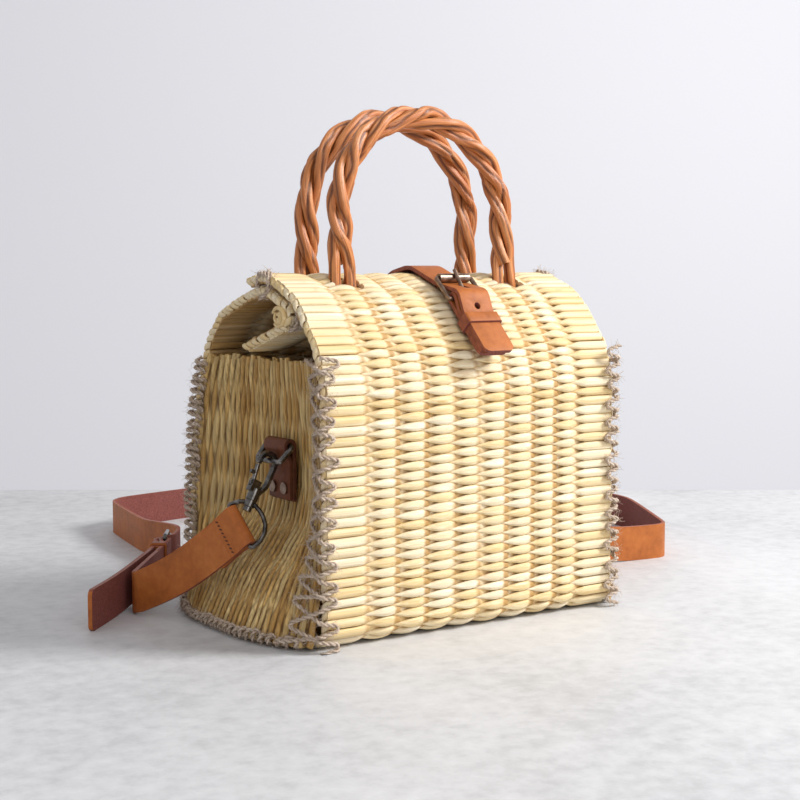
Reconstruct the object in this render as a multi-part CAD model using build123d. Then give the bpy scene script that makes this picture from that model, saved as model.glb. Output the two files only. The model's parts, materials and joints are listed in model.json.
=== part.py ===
from build123d import *
from math import asin, atan2, ceil, cos, degrees, pi, radians, sin, sqrt, tan
import os

# Millimetres. X runs along the reeds (left to right), Y from the front wall to the back wall, Z up.
# The origin is the centre of the base, on the surface that the bag stands on.

# Mat: one woven piece that makes front flap, front wall, base, back wall, back flap and its hem
bag_width = 200.0
bag_depth = 152.0
mat_core = 5.4            # thickness without the ridges
reed_ridge = 1.1          # how far a reed row stands out of the core
reed_pitch = 5.2          # one ridge is a pair of reeds
base_corner_radius = 9.0
ridge_height = 195.2      # top of the roof
shoulder_height = 153.0   # where the front wall ends and the roof starts
hem_turn_radius = 4.6     # round turn of the back flap under the front flap
flap_overlap_gap = 0.4
foot_flat = 0.3           # how much the standing weight flattens the ridges of the base

# Side panels: vertical reeds, drawn in at mid height and bulging out at the foot
panel_height = 148.0
panel_core = 4.4
panel_ridge = 0.9
panel_side_clearance = 1.6
panel_end_clearance = 0.4
foot_bulge = 16.5
mid_recess = 14.0
upper_edge_inset = 5.0    # how far the panel's upright edges lie inside the mat's end
panel_foot_thickness = 5.0

# Handles: three willow strands laid into a rope and bent to an arch
strand_radius = 3.1
strand_ring_radius = 4.0   # strand centre to rope centre
rope_turns = 10 / 3         # whole thirds, so that the strands part cleanly at both feet
arch_radius = 55.5
handle_top = 280.5         # rope centre line at the top of the arch
foot_spread = 9.6          # between the two branches of a leg
front_handle_y = -26.0
back_handle_y = 11.5
front_handle_lean = -5.0   # degrees, minus is backwards
back_handle_lean = 0.0
branch_height = 15.0       # from the pivot to where the two branches part
tucked_end_height = 15.5   # where the third strand ends
loop_radius = 1.8          # the rod's turn between the two branches, inside the mat
loop_clearance = 0.25
slot_clearance = 0.5
lean_inwards = 30.0        # degrees from upright, towards the open roof side
lean_outwards = 8.0        # degrees from upright, towards the other handle

# Leather
strap_width = 23.0
strap_thickness = 2.4
closure_width = 20.0
closure_thickness = 2.2
leather_gap = 0.15
punch_radius = 1.9

# Metal hardware
closure_wire = 1.3         # radii of the wires
wire_joint = 0.02          # half the gap where a bent wire's two ends meet
roller_radius = 2.5
roller_clearance = 0.1
prong_radius = 1.1
tab_ring_wire = 1.5
swivel_ring_wire = 1.25
swivel_ring_radius = 13.4
hook_wire = 1.7
hook_eye_radius = 5.0
hook_eye_height = 22.0
hook_bar_radius = 1.2
post_radius = 1.3
post_clearance = 0.1
rivet_radius = 1.5
rivet_head_radius = 3.2
rivet_head_height = 1.2

closure_x = 7.0            # the closing strap sits a little right of the middle

left_side = -1
right_side = 1


def unit(vector):
    return vector.normalized()


def shifted_corners(points, radii, shift):
    """Corner points and fillet radii of a path moved sideways, to the left for a plus shift."""
    points = [Vector(*p) for p in points]
    turned = []
    new_radii = []
    for i, point in enumerate(points):
        before = unit(point - points[i - 1]) if i > 0 else unit(points[1] - point)
        after = unit(points[i + 1] - point) if i < len(points) - 1 else before
        left_before = Vector(-before.Y, before.X)
        left_after = Vector(-after.Y, after.X)
        mitre = (left_before + left_after) * (1 / (1 + left_before.dot(left_after)))
        turned.append(point + mitre * shift)
        if 0 < i < len(points) - 1:
            side = 1 if before.cross(after).Z > 0 else -1
            new_radii.append(max(radii[i - 1] - side * shift, 0.05))
    return turned, new_radii


def band_face(points, radii, thickness):
    """Flat strip of constant thickness along a filleted path in the XY plane."""
    left, left_radii = shifted_corners(points, radii, thickness / 2)
    right, right_radii = shifted_corners(points, radii, -thickness / 2)
    upper = FilletPolyline(*left, radius=left_radii)
    lower = FilletPolyline(*right, radius=right_radii)
    ends = [Line(left[0], right[0]), Line(left[-1], right[-1])]
    return make_face(upper.edges() + lower.edges() + ends)


def leather_band(points, radii, thickness, width, plane):
    face = plane * band_face(points, radii, thickness)
    return extrude(face, amount=width / 2, dir=plane.z_dir, both=True)


def rod(start, end, radius):
    axis = end - start
    return Solid.make_cylinder(radius, axis.length, Plane(origin=start, z_dir=axis))


def wire_stations(path, arc_step=24.0):
    """Points along a filleted path: the ends of its runs, and steps along each bend."""
    points = []
    for edge in path.edges():
        turn = (edge % 0).get_angle(edge % 1)
        steps = max(1, ceil(turn / arc_step - 0.01))
        for step in range(steps):
            point = edge @ (step / steps)
            if not points or (point - points[-1]).length > 0.3:
                points.append(point)
    return points, path.edges()[-1] @ 1


def wire_section(points, i, normal, radius, sides=8):
    """Many-sided section of a bent wire, square to the path at point i."""
    across = unit(unit(points[i + 1] - points[i - 1]).cross(normal))
    turns = [2 * pi * (side + 0.5) / sides for side in range(sides)]
    reach = radius * 1.03
    ring = [points[i] + normal * (reach * cos(turn)) + across * (reach * sin(turn)) for turn in turns]
    return Wire(Polyline(*ring, close=True).edges())


def bent_wire(path, normal, radius):
    """Round wire bent in one plane."""
    points, last = wire_stations(path)
    points = [points[0] * 2 - points[1]] + points + [last, last * 2 - points[-1]]
    sections = [wire_section(points, i, normal, radius) for i in range(1, len(points) - 1)]
    return Solid.make_loft(sections, ruled=True)


def wire_loop(corners, radii, plane, radius):
    """Round wire bent to a closed shape, its butt joint in the middle of the first bar."""
    flat = FilletPolyline((wire_joint, 0), *corners, (-wire_joint, 0), radius=radii)
    return bent_wire(Wire((plane * flat).edges()), plane.z_dir, radius)


def strand_tube(points, radius, sides=8):
    """Willow strand through the points: short straight stretches with a many-sided section, closed by points."""
    sections = []
    guide = Vector(0, 1, 0)
    for i, point in enumerate(points):
        along = unit(points[min(i + 1, len(points) - 1)] - points[max(i - 1, 0)])
        first = unit(guide - along * guide.dot(along))
        second = along.cross(first)
        turns = [2 * pi * side / sides for side in range(sides)]
        ring = [point + first * (radius * cos(turn)) + second * (radius * sin(turn)) for turn in turns]
        sections.append(Wire(Polyline(*ring, close=True).edges()))
    return Solid.make_loft(sections, ruled=True)


# Mat

mat_half = mat_core / 2
wall_y = bag_depth / 2 - mat_half - reed_ridge
floor_z = mat_half + reed_ridge - foot_flat
ridge_z = ridge_height - mat_half - reed_ridge
overlap_drop = mat_core + reed_ridge + flap_overlap_gap
flap_end_y = 4.0

front_roof = [(flap_end_y, ridge_z - 3.6), (-13.0, ridge_z), (-43.0, ridge_z - 11.0), (-66.0, shoulder_height)]
front_roof_radii = [30.0, 45.0, 22.0]
base_run = [(-wall_y, 134.0), (-wall_y, floor_z), (wall_y, floor_z), (wall_y, 88.0)]
base_run_radii = [30.0, base_corner_radius, base_corner_radius, 60.0]
back_roof = [(62.5, 128.0), (51.0, 156.0), (37.5, 169.5), (flap_end_y, ridge_z - 3.6 - overlap_drop)]
back_roof_radii = [30.0, 20.0, 25.0, 40.0]
hem_points = [(-13.0, ridge_z - overlap_drop - 0.2), (-38.5, 174.2), (-38.3, 166.8), (5.5, 153.6)]
hem_radii = [30.0, hem_turn_radius, hem_turn_radius]
mat_points = front_roof + base_run + back_roof + hem_points
mat_radii = front_roof_radii + base_run_radii + back_roof_radii + hem_radii


def mat_outline():
    """Section of the mat: plain inside, with one ridge for each pair of reeds outside."""
    outer, outer_radii = shifted_corners(mat_points, mat_radii, -mat_half)
    inner, inner_radii = shifted_corners(mat_points, mat_radii, mat_half)
    outer_path = FilletPolyline(*outer, radius=outer_radii)
    inner_path = FilletPolyline(*inner, radius=inner_radii)
    base_middle = outer_path.param_at_point((0, floor_z - mat_half)) * outer_path.length
    rows_before = round(base_middle / reed_pitch - 0.5)
    pitch = base_middle / (rows_before + 0.5)
    rows = int(outer_path.length / pitch)
    edges = []
    for row in range(rows):
        start = outer_path.position_at(row * pitch / outer_path.length)
        middle = outer_path.position_at((row + 0.5) * pitch / outer_path.length)
        end = outer_path.position_at((row + 1) * pitch / outer_path.length)
        along = unit(end - start)
        crest = (start + end) * 0.5 + Vector(along.Y, -along.X) * reed_ridge
        if (crest - middle).length < reed_ridge * 0.5:
            crest = middle + Vector(along.Y, -along.X) * reed_ridge
        rise = crest - (start + end) * 0.5
        shoulders = [start + (end - start) * share + rise for share in (0.25, 0.75)]
        corners = [start, *shoulders, end]
        edges.extend(Line(a, b) for a, b in zip(corners, corners[1:]))
    last = edges[-1] @ 1
    edges.append(Line(last, inner[-1]))
    edges.extend(inner_path.edges())
    edges.append(Line(inner[0], outer_path @ 0))
    return make_face(edges)


def foot_slots(handle_y, pivot_z, towards_front):
    """Two slots for each leg, and the channel that joins them for the rod's turn."""
    surface_rise = mat_half + reed_ridge + 1.2
    long_side = strand_radius / cos(radians(lean_inwards)) + surface_rise * tan(radians(lean_inwards))
    short_side = strand_radius + surface_rise * tan(radians(lean_outwards))
    front_reach = long_side if towards_front else short_side
    back_reach = short_side if towards_front else long_side
    slot_length = front_reach + back_reach + 2 * slot_clearance
    slot_y = handle_y + (back_reach - front_reach) / 2
    cuts = []
    for side in (left_side, right_side):
        leg_x = side * arch_radius
        for branch in (-1, 1):
            x = leg_x + branch * foot_spread / 2
            cuts.append(Pos(x, slot_y, pivot_z) * Box(2 * (strand_radius + slot_clearance), slot_length, 16))
        start = Vector(leg_x - foot_spread / 2, handle_y, pivot_z)
        end = Vector(leg_x + foot_spread / 2, handle_y, pivot_z)
        cuts.append(rod(start, end, loop_radius + loop_clearance))
    return cuts


def roof_height(points, y):
    """Height of the mat's middle layer above y, on the straight runs of a roof."""
    for (y0, z0), (y1, z1) in zip(points, points[1:]):
        if min(y0, y1) <= y <= max(y0, y1):
            return z0 + (z1 - z0) * (y - y0) / (y1 - y0)
    raise ValueError("y is outside the roof")


front_pivot_z = roof_height(front_roof, front_handle_y) + 0.3
back_pivot_z = roof_height(back_roof, back_handle_y) + 0.3


# Side panels

panel_foot_x = bag_width / 2 + panel_end_clearance + panel_core / 2
panel_upper_x = bag_width / 2 - upper_edge_inset
panel_rows = 26
panel_inner_rows = (0, 3, 7, 13, 19, 23, 26)   # the inside is plainer
# height, distance of the upright edges from the middle of the bag, and the bow of the middle
panel_sections = [
    (0.0, panel_foot_x, foot_bulge),
    (9.0, panel_foot_x, foot_bulge - 2.0),
    (30.0, panel_upper_x + 3.0, foot_bulge * 0.4),
    (48.0, panel_upper_x + 0.5, -mid_recess * 0.3),
    (68.0, panel_upper_x, -mid_recess),
    (106.0, panel_upper_x, -mid_recess),
    (panel_height, panel_upper_x, -mid_recess * 0.75),
]


def run_y(points, height):
    """How far out a wall's middle layer stands at a height, on its straight runs."""
    for (y0, z0), (y1, z1) in zip(points, points[1:]):
        if min(z0, z1) <= height <= max(z0, z1):
            return y0 + (y1 - y0) * (height - z0) / (z1 - z0)
    return points[-1][0]


def panel_limits(height):
    """Front and back edge of the side panel, clear of the mat's inner face."""
    inward = mat_half + panel_side_clearance
    front = run_y([base_run[1], base_run[0], front_roof[-1]], height) + inward
    back = run_y([base_run[2], base_run[3], back_roof[0], back_roof[1]], height) - inward
    return front, back


def bow_share(y, height):
    front, back = panel_limits(height)
    position = (2 * y - front - back) / (back - front)
    return 1 - abs(position) ** 3


def panel_section(height, edge_x, bow):
    """Closed outline of the left panel at one height, reeds outwards."""
    front, back = panel_limits(height)
    row_width = (back - front) / panel_rows
    inner = []
    outer = []
    for row in range(panel_rows + 1):
        y = front + row * row_width
        x = -(edge_x + bow * bow_share(y, height))
        outer.append(Vector(x - panel_core / 2, y, height))
        if row in panel_inner_rows:
            inner.append(Vector(x + panel_core / 2, y, height))
    edges = [Line(inner[0], outer[0])]
    for a, b in zip(outer, outer[1:]):
        crest = (a + b) * 0.5 - Vector(panel_ridge, 0, 0)
        edges.append(Line(a, crest))
        edges.append(Line(crest, b))
    edges.append(Line(outer[-1], inner[-1]))
    for a, b in zip(reversed(inner), list(reversed(inner))[1:]):
        edges.append(Line(a, b))
    return Wire(edges)


def panel_face_x(y, height):
    """Crest of the left panel's outer side at y and height."""
    for (z0, edge0, bow0), (z1, edge1, bow1) in zip(panel_sections, panel_sections[1:]):
        if z0 <= height <= z1:
            share = (height - z0) / (z1 - z0)
            edge = edge0 + (edge1 - edge0) * share
            bow = bow0 + (bow1 - bow0) * share
            return -(edge + bow * bow_share(y, height)) - panel_core / 2 - panel_ridge
    raise ValueError("height is outside the panel")


def panel_foot():
    """The turned-in hem that closes the bulge between the panel and the mat's end."""
    inner_x = -(bag_width / 2 + panel_end_clearance)
    front, back = panel_limits(0.0)
    steps = 8
    curve = []
    for step in range(steps + 1):
        y = front + (back - front) * step / steps
        curve.append(Vector(-(panel_foot_x + foot_bulge * bow_share(y, 0.0)), y))
    edges = [Line((inner_x, front), curve[0])]
    edges.append(Spline(*curve))
    edges.append(Line(curve[-1], (inner_x, back)))
    edges.append(Line((inner_x, back), (inner_x, front)))
    return extrude(make_face(edges), amount=panel_foot_thickness)


# Side hardware, worked out for the left side and mirrored for the right

tab_width = 22.0
tab_y = -15.0
tab_top = 101.0
tab_length = 30.0
tab_thickness = 2.2
ring_inner_width = 25.0
ring_drop = 11.0
ring_corner_radius = 2.4
ring_hang_angle = 42.0       # degrees out of the vertical
hook_lean_out = 29.0         # degrees out of the vertical, foot of the hook outwards
hook_lean_back = 3.0
boss_length = 3.4
boss_radius = 3.0
collar_radius = 3.3
collar_length = 6.5
play = 0.3

tab_face_x = panel_face_x(tab_y - tab_width / 2, tab_top)
tab_layer_gap = 0.05
tab_back_x = tab_face_x - 0.2
tab_front_x = tab_back_x - 2 * tab_thickness - tab_layer_gap
tab_bar = Vector(tab_back_x - tab_thickness - leather_gap - tab_ring_wire, tab_y, tab_top)
ring_direction = Vector(-sin(radians(ring_hang_angle)), 0, -cos(radians(ring_hang_angle)))
ring_bar = tab_bar + ring_direction * ring_drop
hook_axis = unit(Vector(sin(radians(hook_lean_out)), sin(radians(hook_lean_back)), cos(radians(hook_lean_out))))
hook_side = unit(Vector(0, 1, 0).cross(hook_axis))
wire_rest = hook_eye_height + hook_eye_radius - hook_wire - tab_ring_wire - 0.4
hook_origin = ring_bar - hook_axis * wire_rest
swivel_centre = hook_origin - hook_axis * (swivel_ring_radius + boss_length / 2 + play)

strap_heading = Vector(-0.30, 0.954, 0).normalized()
strap_start_slope = 38.0
strap_along = unit(strap_heading * cos(radians(strap_start_slope)) - Vector(0, 0, sin(radians(strap_start_slope))))
strap_across = unit(strap_heading * sin(radians(strap_start_slope)) + Vector(0, 0, cos(radians(strap_start_slope))))
strap_normal = strap_across.cross(strap_along)
swivel_up = unit(hook_axis - strap_across * hook_axis.dot(strap_across))


def mirrored(shape, side):
    return shape if side == left_side else mirror(shape, about=Plane.YZ)


def strap_section(centre, across, normal, width, thickness):
    corners = [(-1, -1), (1, -1), (1, 1), (-1, 1)]
    points = [centre + across * (a * width / 2) + normal * (b * thickness / 2) for a, b in corners]
    return Wire(Polyline(*points, close=True).edges())


def route_stations(points, radii, arc_step=18.0):
    """Places along a plan route with their heading: run ends, and steps along each arc."""
    path = FilletPolyline(*points, radius=radii)
    stations = []
    travelled = 0.0
    for edge in path.edges():
        turn = (edge % 0).get_angle(edge % 1)
        steps = max(1, ceil(turn / arc_step), ceil(edge.length / 45.0))
        for step in range(steps):
            share = step / steps
            stations.append((edge @ share, edge % share, travelled + share * edge.length))
        travelled += edge.length
    last = path.edges()[-1]
    stations.append((last @ 1, last % 1, travelled))
    return stations


def standing_strap(stations, drop_length, drop, curve):
    """Strap on its edge along the stations, coming down by `drop` over `drop_length`."""
    sections = []
    for place, heading, travelled in stations:
        left = max(0.0, 1 - travelled / drop_length)
        height = strap_width / 2 + drop * left ** curve + buckle_lift(place)
        slope = atan2(drop * curve * left ** (curve - 1) / drop_length, 1) if left > 0 else 0.0
        across = unit(heading * sin(slope) + Vector(0, 0, cos(slope)))
        normal = unit(Vector(-heading.Y, heading.X, 0))
        centre = Vector(place.X, place.Y, height)
        sections.append(strap_section(centre, across, normal, strap_width, strap_thickness))
    return Solid.make_loft(sections, ruled=True)


def fold_points(bar_radius, thickness, run, tail):
    """Leather folded round a bar at the origin: the run above, the tail below, both to the right."""
    reach = bar_radius + leather_gap + thickness / 2
    near = reach * 3.2
    lower = reach - thickness - 0.05
    points = [(run, reach), (-reach, reach), (-reach, -reach), (reach * 0.6, -reach), (near, lower), (tail, lower)]
    return points, [reach * 0.98, reach * 0.98, reach, reach]


def rivet(base, direction, grip, side):
    """Tubular rivet: domed head, shank through `grip`, flat washer behind."""
    direction = unit(direction)
    shank = rod(base, base + direction * grip, rivet_radius)
    head = rod(base - direction * rivet_head_height, base, rivet_head_radius)
    washer = rod(base + direction * grip, base + direction * (grip + 0.8), rivet_head_radius)
    return mirrored(shank + head + washer, side)


# Mat and side panels

mat_plane = Plane.YZ
body_mat = extrude(mat_plane * mat_outline(), amount=bag_width / 2, both=True)
for cut in foot_slots(front_handle_y, front_pivot_z, True) + foot_slots(back_handle_y, back_pivot_z, False):
    body_mat -= cut
body_mat -= Pos(0, 0, -5) * Box(2 * bag_width, 2 * bag_depth, 10)

left_panel = Solid.make_loft([panel_section(*section) for section in panel_sections], ruled=True)
left_panel += panel_foot()

tab_rivet_spread = 6.0
tab_rivet_height = tab_top - tab_length + 7.0
tab_rivets = []
for offset in (-tab_rivet_spread, tab_rivet_spread):
    place = Vector(tab_front_x, tab_y + offset, tab_rivet_height)
    inner_x = tab_face_x + panel_ridge + panel_core + 0.9
    tab_rivets.append((place, inner_x - place.X))
for place, grip in tab_rivets:
    left_panel -= rod(place - Vector(5, 0, 0), place + Vector(30, 0, 0), rivet_radius)


# Handles

def smooth(share):
    share = min(max(share, 0.0), 1.0)
    return share * share * (3 - 2 * share)


def rope_frame(travelled, leg):
    """Point of the rope's centre line and its outward normal, in the plane of the arch."""
    arc = pi * arch_radius
    if travelled < leg:
        return Vector(-arch_radius, 0, travelled), Vector(-1, 0, 0)
    if travelled > leg + arc:
        return Vector(arch_radius, 0, 2 * leg + arc - travelled), Vector(1, 0, 0)
    angle = (travelled - leg) / arch_radius
    outward = Vector(-cos(angle), 0, sin(angle))
    return Vector(0, 0, leg) + outward * arch_radius, outward


def strand_path(strand, leg):
    """One strand of the rope. Strands 0 and 1 loop through the mat at the left, 1 and 2 at the right."""
    total = 2 * leg + pi * arch_radius
    in_left_foot = strand in (0, 1)
    in_right_foot = strand in (1, 2)
    start = 0.0 if in_left_foot else tucked_end_height
    end = total if in_right_foot else total - tucked_end_height
    left_phase = pi
    points = []
    steps = 30
    for step in range(steps + 1):
        travelled = start + (end - start) * step / steps
        centre, outward = rope_frame(travelled, leg)
        phase = left_phase + 2 * pi * (rope_turns * travelled / total + strand / 3)
        twisted = outward * (strand_ring_radius * cos(phase)) + Vector(0, strand_ring_radius * sin(phase), 0)
        left_share = smooth((travelled - 3.0) / branch_height) if in_left_foot else 1.0
        right_share = smooth((total - travelled - 3.0) / branch_height) if in_right_foot else 1.0
        share = left_share * right_share
        branch = foot_branch(strand, travelled < total / 2)
        points.append(centre + twisted * share + Vector(branch * foot_spread / 2, 0, 0) * (1 - share))
    return points


def foot_branch(strand, at_left):
    """Side of the leg, minus for left, on which a looped strand enters the mat."""
    if at_left:
        return 1 if strand == 0 else -1
    return -1 if strand == 2 else 1


def handle_strands(y, pivot_z, lean):
    leg = handle_top - arch_radius - pivot_z
    place = Pos(0, y, pivot_z) * Rot(lean, 0, 0)
    strands = []
    for strand in range(3):
        strands.append(strand_tube(strand_path(strand, leg), strand_radius))
    for side, outer in ((left_side, 0), (right_side, 2)):
        start = Vector(side * arch_radius - foot_spread / 2, 0, 0)
        end = Vector(side * arch_radius + foot_spread / 2, 0, 0)
        strands[1] += rod(start, end, loop_radius) - strands[outer]
    return [place * strand for strand in strands]


front_strands = handle_strands(front_handle_y, front_pivot_z, front_handle_lean)
back_strands = handle_strands(back_handle_y, back_pivot_z, back_handle_lean)


# Buckles. In a buckle's own plane u runs along the strap away from the heel bar and v stands off it

buckle_corner_radius = 1.7
prong_eye_wall = 1.0
prong_slot_width = 4.4
side_play = 0.6
roller_end_play = 0.25
tongue_hole_length = 9.4
tongue_hole_shift = 0.9        # towards the heel bar, where the lifted prong crosses
tongue_hole_width = 3.4
stack_gap = 0.12


def buckle_plane(origin, along, standing):
    return Plane(origin=origin, x_dir=unit(along), z_dir=unit(along.cross(standing)))


def buckle_frame(plane, roller_at, leather_width):
    """Rounded wire rectangle from the heel bar to the roller's bar."""
    half = leather_width / 2 + side_play + closure_wire
    roller_place = plane.origin + plane.x_dir * roller_at[0] + plane.y_dir * roller_at[1]
    up = roller_place - plane.origin
    loop_plane = Plane(origin=plane.origin, x_dir=plane.z_dir, z_dir=plane.z_dir.cross(up))
    length = up.length
    corners = [(half, 0), (half, length), (-half, length), (-half, 0)]
    return wire_loop(corners, [buckle_corner_radius] * 4, loop_plane, closure_wire)


def buckle_roller(plane, roller_at, leather_width):
    half = leather_width / 2 + side_play + closure_wire - buckle_corner_radius - roller_end_play
    centre = plane.origin + plane.x_dir * roller_at[0] + plane.y_dir * roller_at[1]
    start = centre - plane.z_dir * half
    end = centre + plane.z_dir * half
    return rod(start, end, roller_radius) - rod(start, end, closure_wire + roller_clearance)


def prong_direction(roller_at):
    """u and v of the prong, which leaves the heel bar and passes just over the roller."""
    distance = sqrt(roller_at[0] ** 2 + roller_at[1] ** 2)
    over = roller_radius + prong_radius + 0.08
    angle = atan2(roller_at[1], roller_at[0]) - asin(over / distance)
    return cos(angle), sin(angle)


def buckle_prong(plane, roller_at):
    """Rod with an eye round the heel bar, its tip resting over the roller."""
    eye_outer = closure_wire + roller_clearance + prong_eye_wall
    half = 1.3
    start = plane.origin - plane.z_dir * half
    end = plane.origin + plane.z_dir * half
    u, v = prong_direction(roller_at)
    along = plane.x_dir * u + plane.y_dir * v
    reach = sqrt(roller_at[0] ** 2 + roller_at[1] ** 2) + 2.6
    shaft = rod(plane.origin + along * (eye_outer - 0.8), plane.origin + along * reach, prong_radius)
    prong = rod(start, end, eye_outer) + shaft
    return prong - rod(start - plane.z_dir, end + plane.z_dir, closure_wire + roller_clearance)


def crossing(start, end, direction):
    """Where the line from the heel bar along `direction` meets the line from start to end, as u and v."""
    run = (end[0] - start[0], end[1] - start[1])
    share = (start[1] * direction[0] - start[0] * direction[1]) / (run[0] * direction[1] - run[1] * direction[0])
    return start[0] + run[0] * share, start[1] + run[1] * share


def prong_slot(plane):
    """Slot in the fold, where the prong's eye sits on the heel bar."""
    length = 11.0
    height = 12.0
    return plane * Pos(-length / 2 + 3.4, 0, 0) * Box(length, height, prong_slot_width)


def prong_hole(plane, roller_at, under, over):
    """Oblong hole where the prong comes up through the strap, long enough for its lift."""
    direction = prong_direction(roller_at)
    u, v = crossing(under, over, direction)
    centre = plane.origin + plane.x_dir * u + plane.y_dir * v
    along = unit(plane.x_dir * (over[0] - under[0]) + plane.y_dir * (over[1] - under[1]))
    normal = unit(along.cross(plane.z_dir))
    slot_plane = Plane(origin=centre + along * tongue_hole_shift, x_dir=along, z_dir=normal)
    return extrude(slot_plane * SlotOverall(tongue_hole_length, tongue_hole_width), amount=6, both=True)


# Closing strap over the roof

closure_slope = 46.0
closure_lift = 0.75          # the strap's underside stands a little off the reeds
buckle_strap_length = 38.5
tongue_length = 41.0
closure_roller_reach = 18.5
keeper_at = 17.5
keeper_width = 6.5
keeper_thickness = 1.4
second_hole_at = 9.5
tongue_back_y = 47.0
tongue_rivet_spread = 5.0


def roof_touch(slope):
    """Point of the front roof's middle layer where the roof falls at `slope`, and its outward normal."""
    path = FilletPolyline(*front_roof, radius=front_roof_radii[:2])
    low, high = 0.0, 1.0
    for _ in range(40):
        middle = (low + high) / 2
        tangent = path % middle
        if degrees(atan2(-tangent.Y, -tangent.X)) < slope:
            low = middle
        else:
            high = middle
    tangent = path % low
    return path @ low, Vector(tangent.Y, -tangent.X)


touch, touch_normal = roof_touch(closure_slope)
roof_out = mat_half + reed_ridge
heel_rise = roof_out + closure_lift + closure_thickness + leather_gap + closure_wire
heel_flat = touch + touch_normal * heel_rise
closure_heel = Vector(closure_x, heel_flat.X, heel_flat.Y)
closure_along = Vector(0, -cos(radians(closure_slope)), -sin(radians(closure_slope)))
closure_out = Vector(0, -sin(radians(closure_slope)), cos(radians(closure_slope)))
closure_plane = buckle_plane(closure_heel, closure_along, closure_out)
closure_fold = closure_wire + leather_gap + closure_thickness / 2

roller_under_y = -38.8
roof_run = Vector(-30.0, -11.0)
roof_normal = unit(Vector(roof_run.Y, -roof_run.X))
tongue_rise = roof_out + 0.2 + closure_thickness / 2
under_flat = Vector(roller_under_y, roof_height(front_roof, roller_under_y)) + roof_normal * tongue_rise
roller_flat = under_flat + roof_normal * (closure_thickness / 2 + 0.2 + roller_radius)


def closure_local(flat):
    """u and v in the buckle's plane of a point given as y and z."""
    offset = Vector(closure_x, flat.X, flat.Y) - closure_heel
    return offset.dot(closure_along), offset.dot(closure_out)


closure_roller_at = closure_local(roller_flat)
tongue_under_at = closure_local(under_flat)
lower_layer_v = -closure_fold
upper_layer_v = lower_layer_v + closure_thickness + stack_gap
tongue_layer_v = upper_layer_v + closure_thickness + stack_gap
tongue_over_heel = (0.6, closure_fold + closure_thickness + 1.75)


def to_flat(u, v):
    point = closure_heel + closure_along * u + closure_out * v
    return (point.Y, point.Z)


tongue_points = [
    (tongue_back_y + 3.2, 164.3),
    (40.4, 174.1),
    (flap_end_y, ridge_z + tongue_rise - 3.2),
    (-13.0, ridge_z + tongue_rise + 0.3),
    to_flat(*tongue_under_at),
    to_flat(*tongue_over_heel),
    to_flat(12.5, tongue_layer_v),
    to_flat(tongue_length, tongue_layer_v),
]
tongue_radii = [14.0, 18.0, 20.0, 12.0, 6.0, 10.0]
closure_side = Plane(origin=(closure_x, 0, 0), x_dir=(0, 1, 0), z_dir=(1, 0, 0))
closure_tongue = leather_band(tongue_points, tongue_radii, closure_thickness, closure_width, closure_side)


def rounded_tip(end, along, across, standing, width, radius):
    """Tool that rounds the two corners of a strap's end."""
    plane = Plane(origin=end, x_dir=across, z_dir=standing)
    sign = 1 if plane.y_dir.dot(along) > 0 else -1
    block = Rectangle(width * 1.2, 2 * radius)
    kept = RectangleRounded(width, 8 * radius, radius - 0.01)
    shape = Pos(0, -sign * (radius - 0.02)) * block - Pos(0, -sign * 4 * radius) * kept
    return extrude(plane * shape, amount=5, both=True)


tongue_end = closure_heel + closure_along * tongue_length + closure_out * tongue_layer_v
closure_tongue -= rounded_tip(tongue_end, closure_along, Vector(1, 0, 0), closure_out, closure_width, 4.0)

closure_tongue -= prong_hole(closure_plane, closure_roller_at, tongue_under_at, tongue_over_heel)
second_hole = closure_heel + closure_along * second_hole_at + closure_out * (tongue_layer_v + 0.4)
closure_tongue -= rod(second_hole - closure_out * 1.9, second_hole + closure_out * 4, punch_radius)

buckle_points, buckle_radii = fold_points(closure_wire, closure_thickness, buckle_strap_length, buckle_strap_length - 1)
buckle_points = [(u, -v) for u, v in buckle_points]
buckle_points[-2] = (buckle_points[-2][0], upper_layer_v)
buckle_points[-1] = (buckle_points[-1][0], upper_layer_v)
closure_buckle_strap = leather_band(buckle_points, buckle_radii, closure_thickness, closure_width, closure_plane)
strap_end = closure_heel + closure_along * buckle_strap_length + closure_out * lower_layer_v
closure_buckle_strap -= rounded_tip(strap_end, closure_along, Vector(1, 0, 0), closure_out, closure_width, 4.0)
closure_buckle_strap -= prong_slot(closure_plane)

closure_frame = buckle_frame(closure_plane, closure_roller_at, closure_width)
closure_roller = buckle_roller(closure_plane, closure_roller_at, closure_width)
closure_prong = buckle_prong(closure_plane, closure_roller_at)


def keeper(plane, at, low, high, leather_width):
    """Leather loop round the layers of a strap between the levels low and high."""
    inner_height = high - low + 2 * stack_gap
    inner_width = leather_width + 2 * stack_gap
    middle = plane.origin + plane.x_dir * at + plane.y_dir * (high + low) / 2
    loop_plane = Plane(origin=middle, x_dir=plane.z_dir, z_dir=plane.x_dir)
    outer = RectangleRounded(inner_width + 2 * keeper_thickness, inner_height + 2 * keeper_thickness, 1.8)
    inner = Rectangle(inner_width, inner_height)
    return extrude(loop_plane * (outer - inner), amount=keeper_width / 2, both=True)


closure_half = closure_thickness / 2
closure_keeper = keeper(
    closure_plane, keeper_at, lower_layer_v - closure_half, tongue_layer_v + closure_half, closure_width)


# Side hardware

tab_leather_fold = tab_ring_wire + leather_gap + tab_thickness / 2
tab_plane = Plane(origin=tab_bar, x_dir=(0, 0, -1), z_dir=(0, 1, 0))
tab_sides = fold_points(tab_ring_wire, tab_thickness, tab_length, tab_length - 1)


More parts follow.
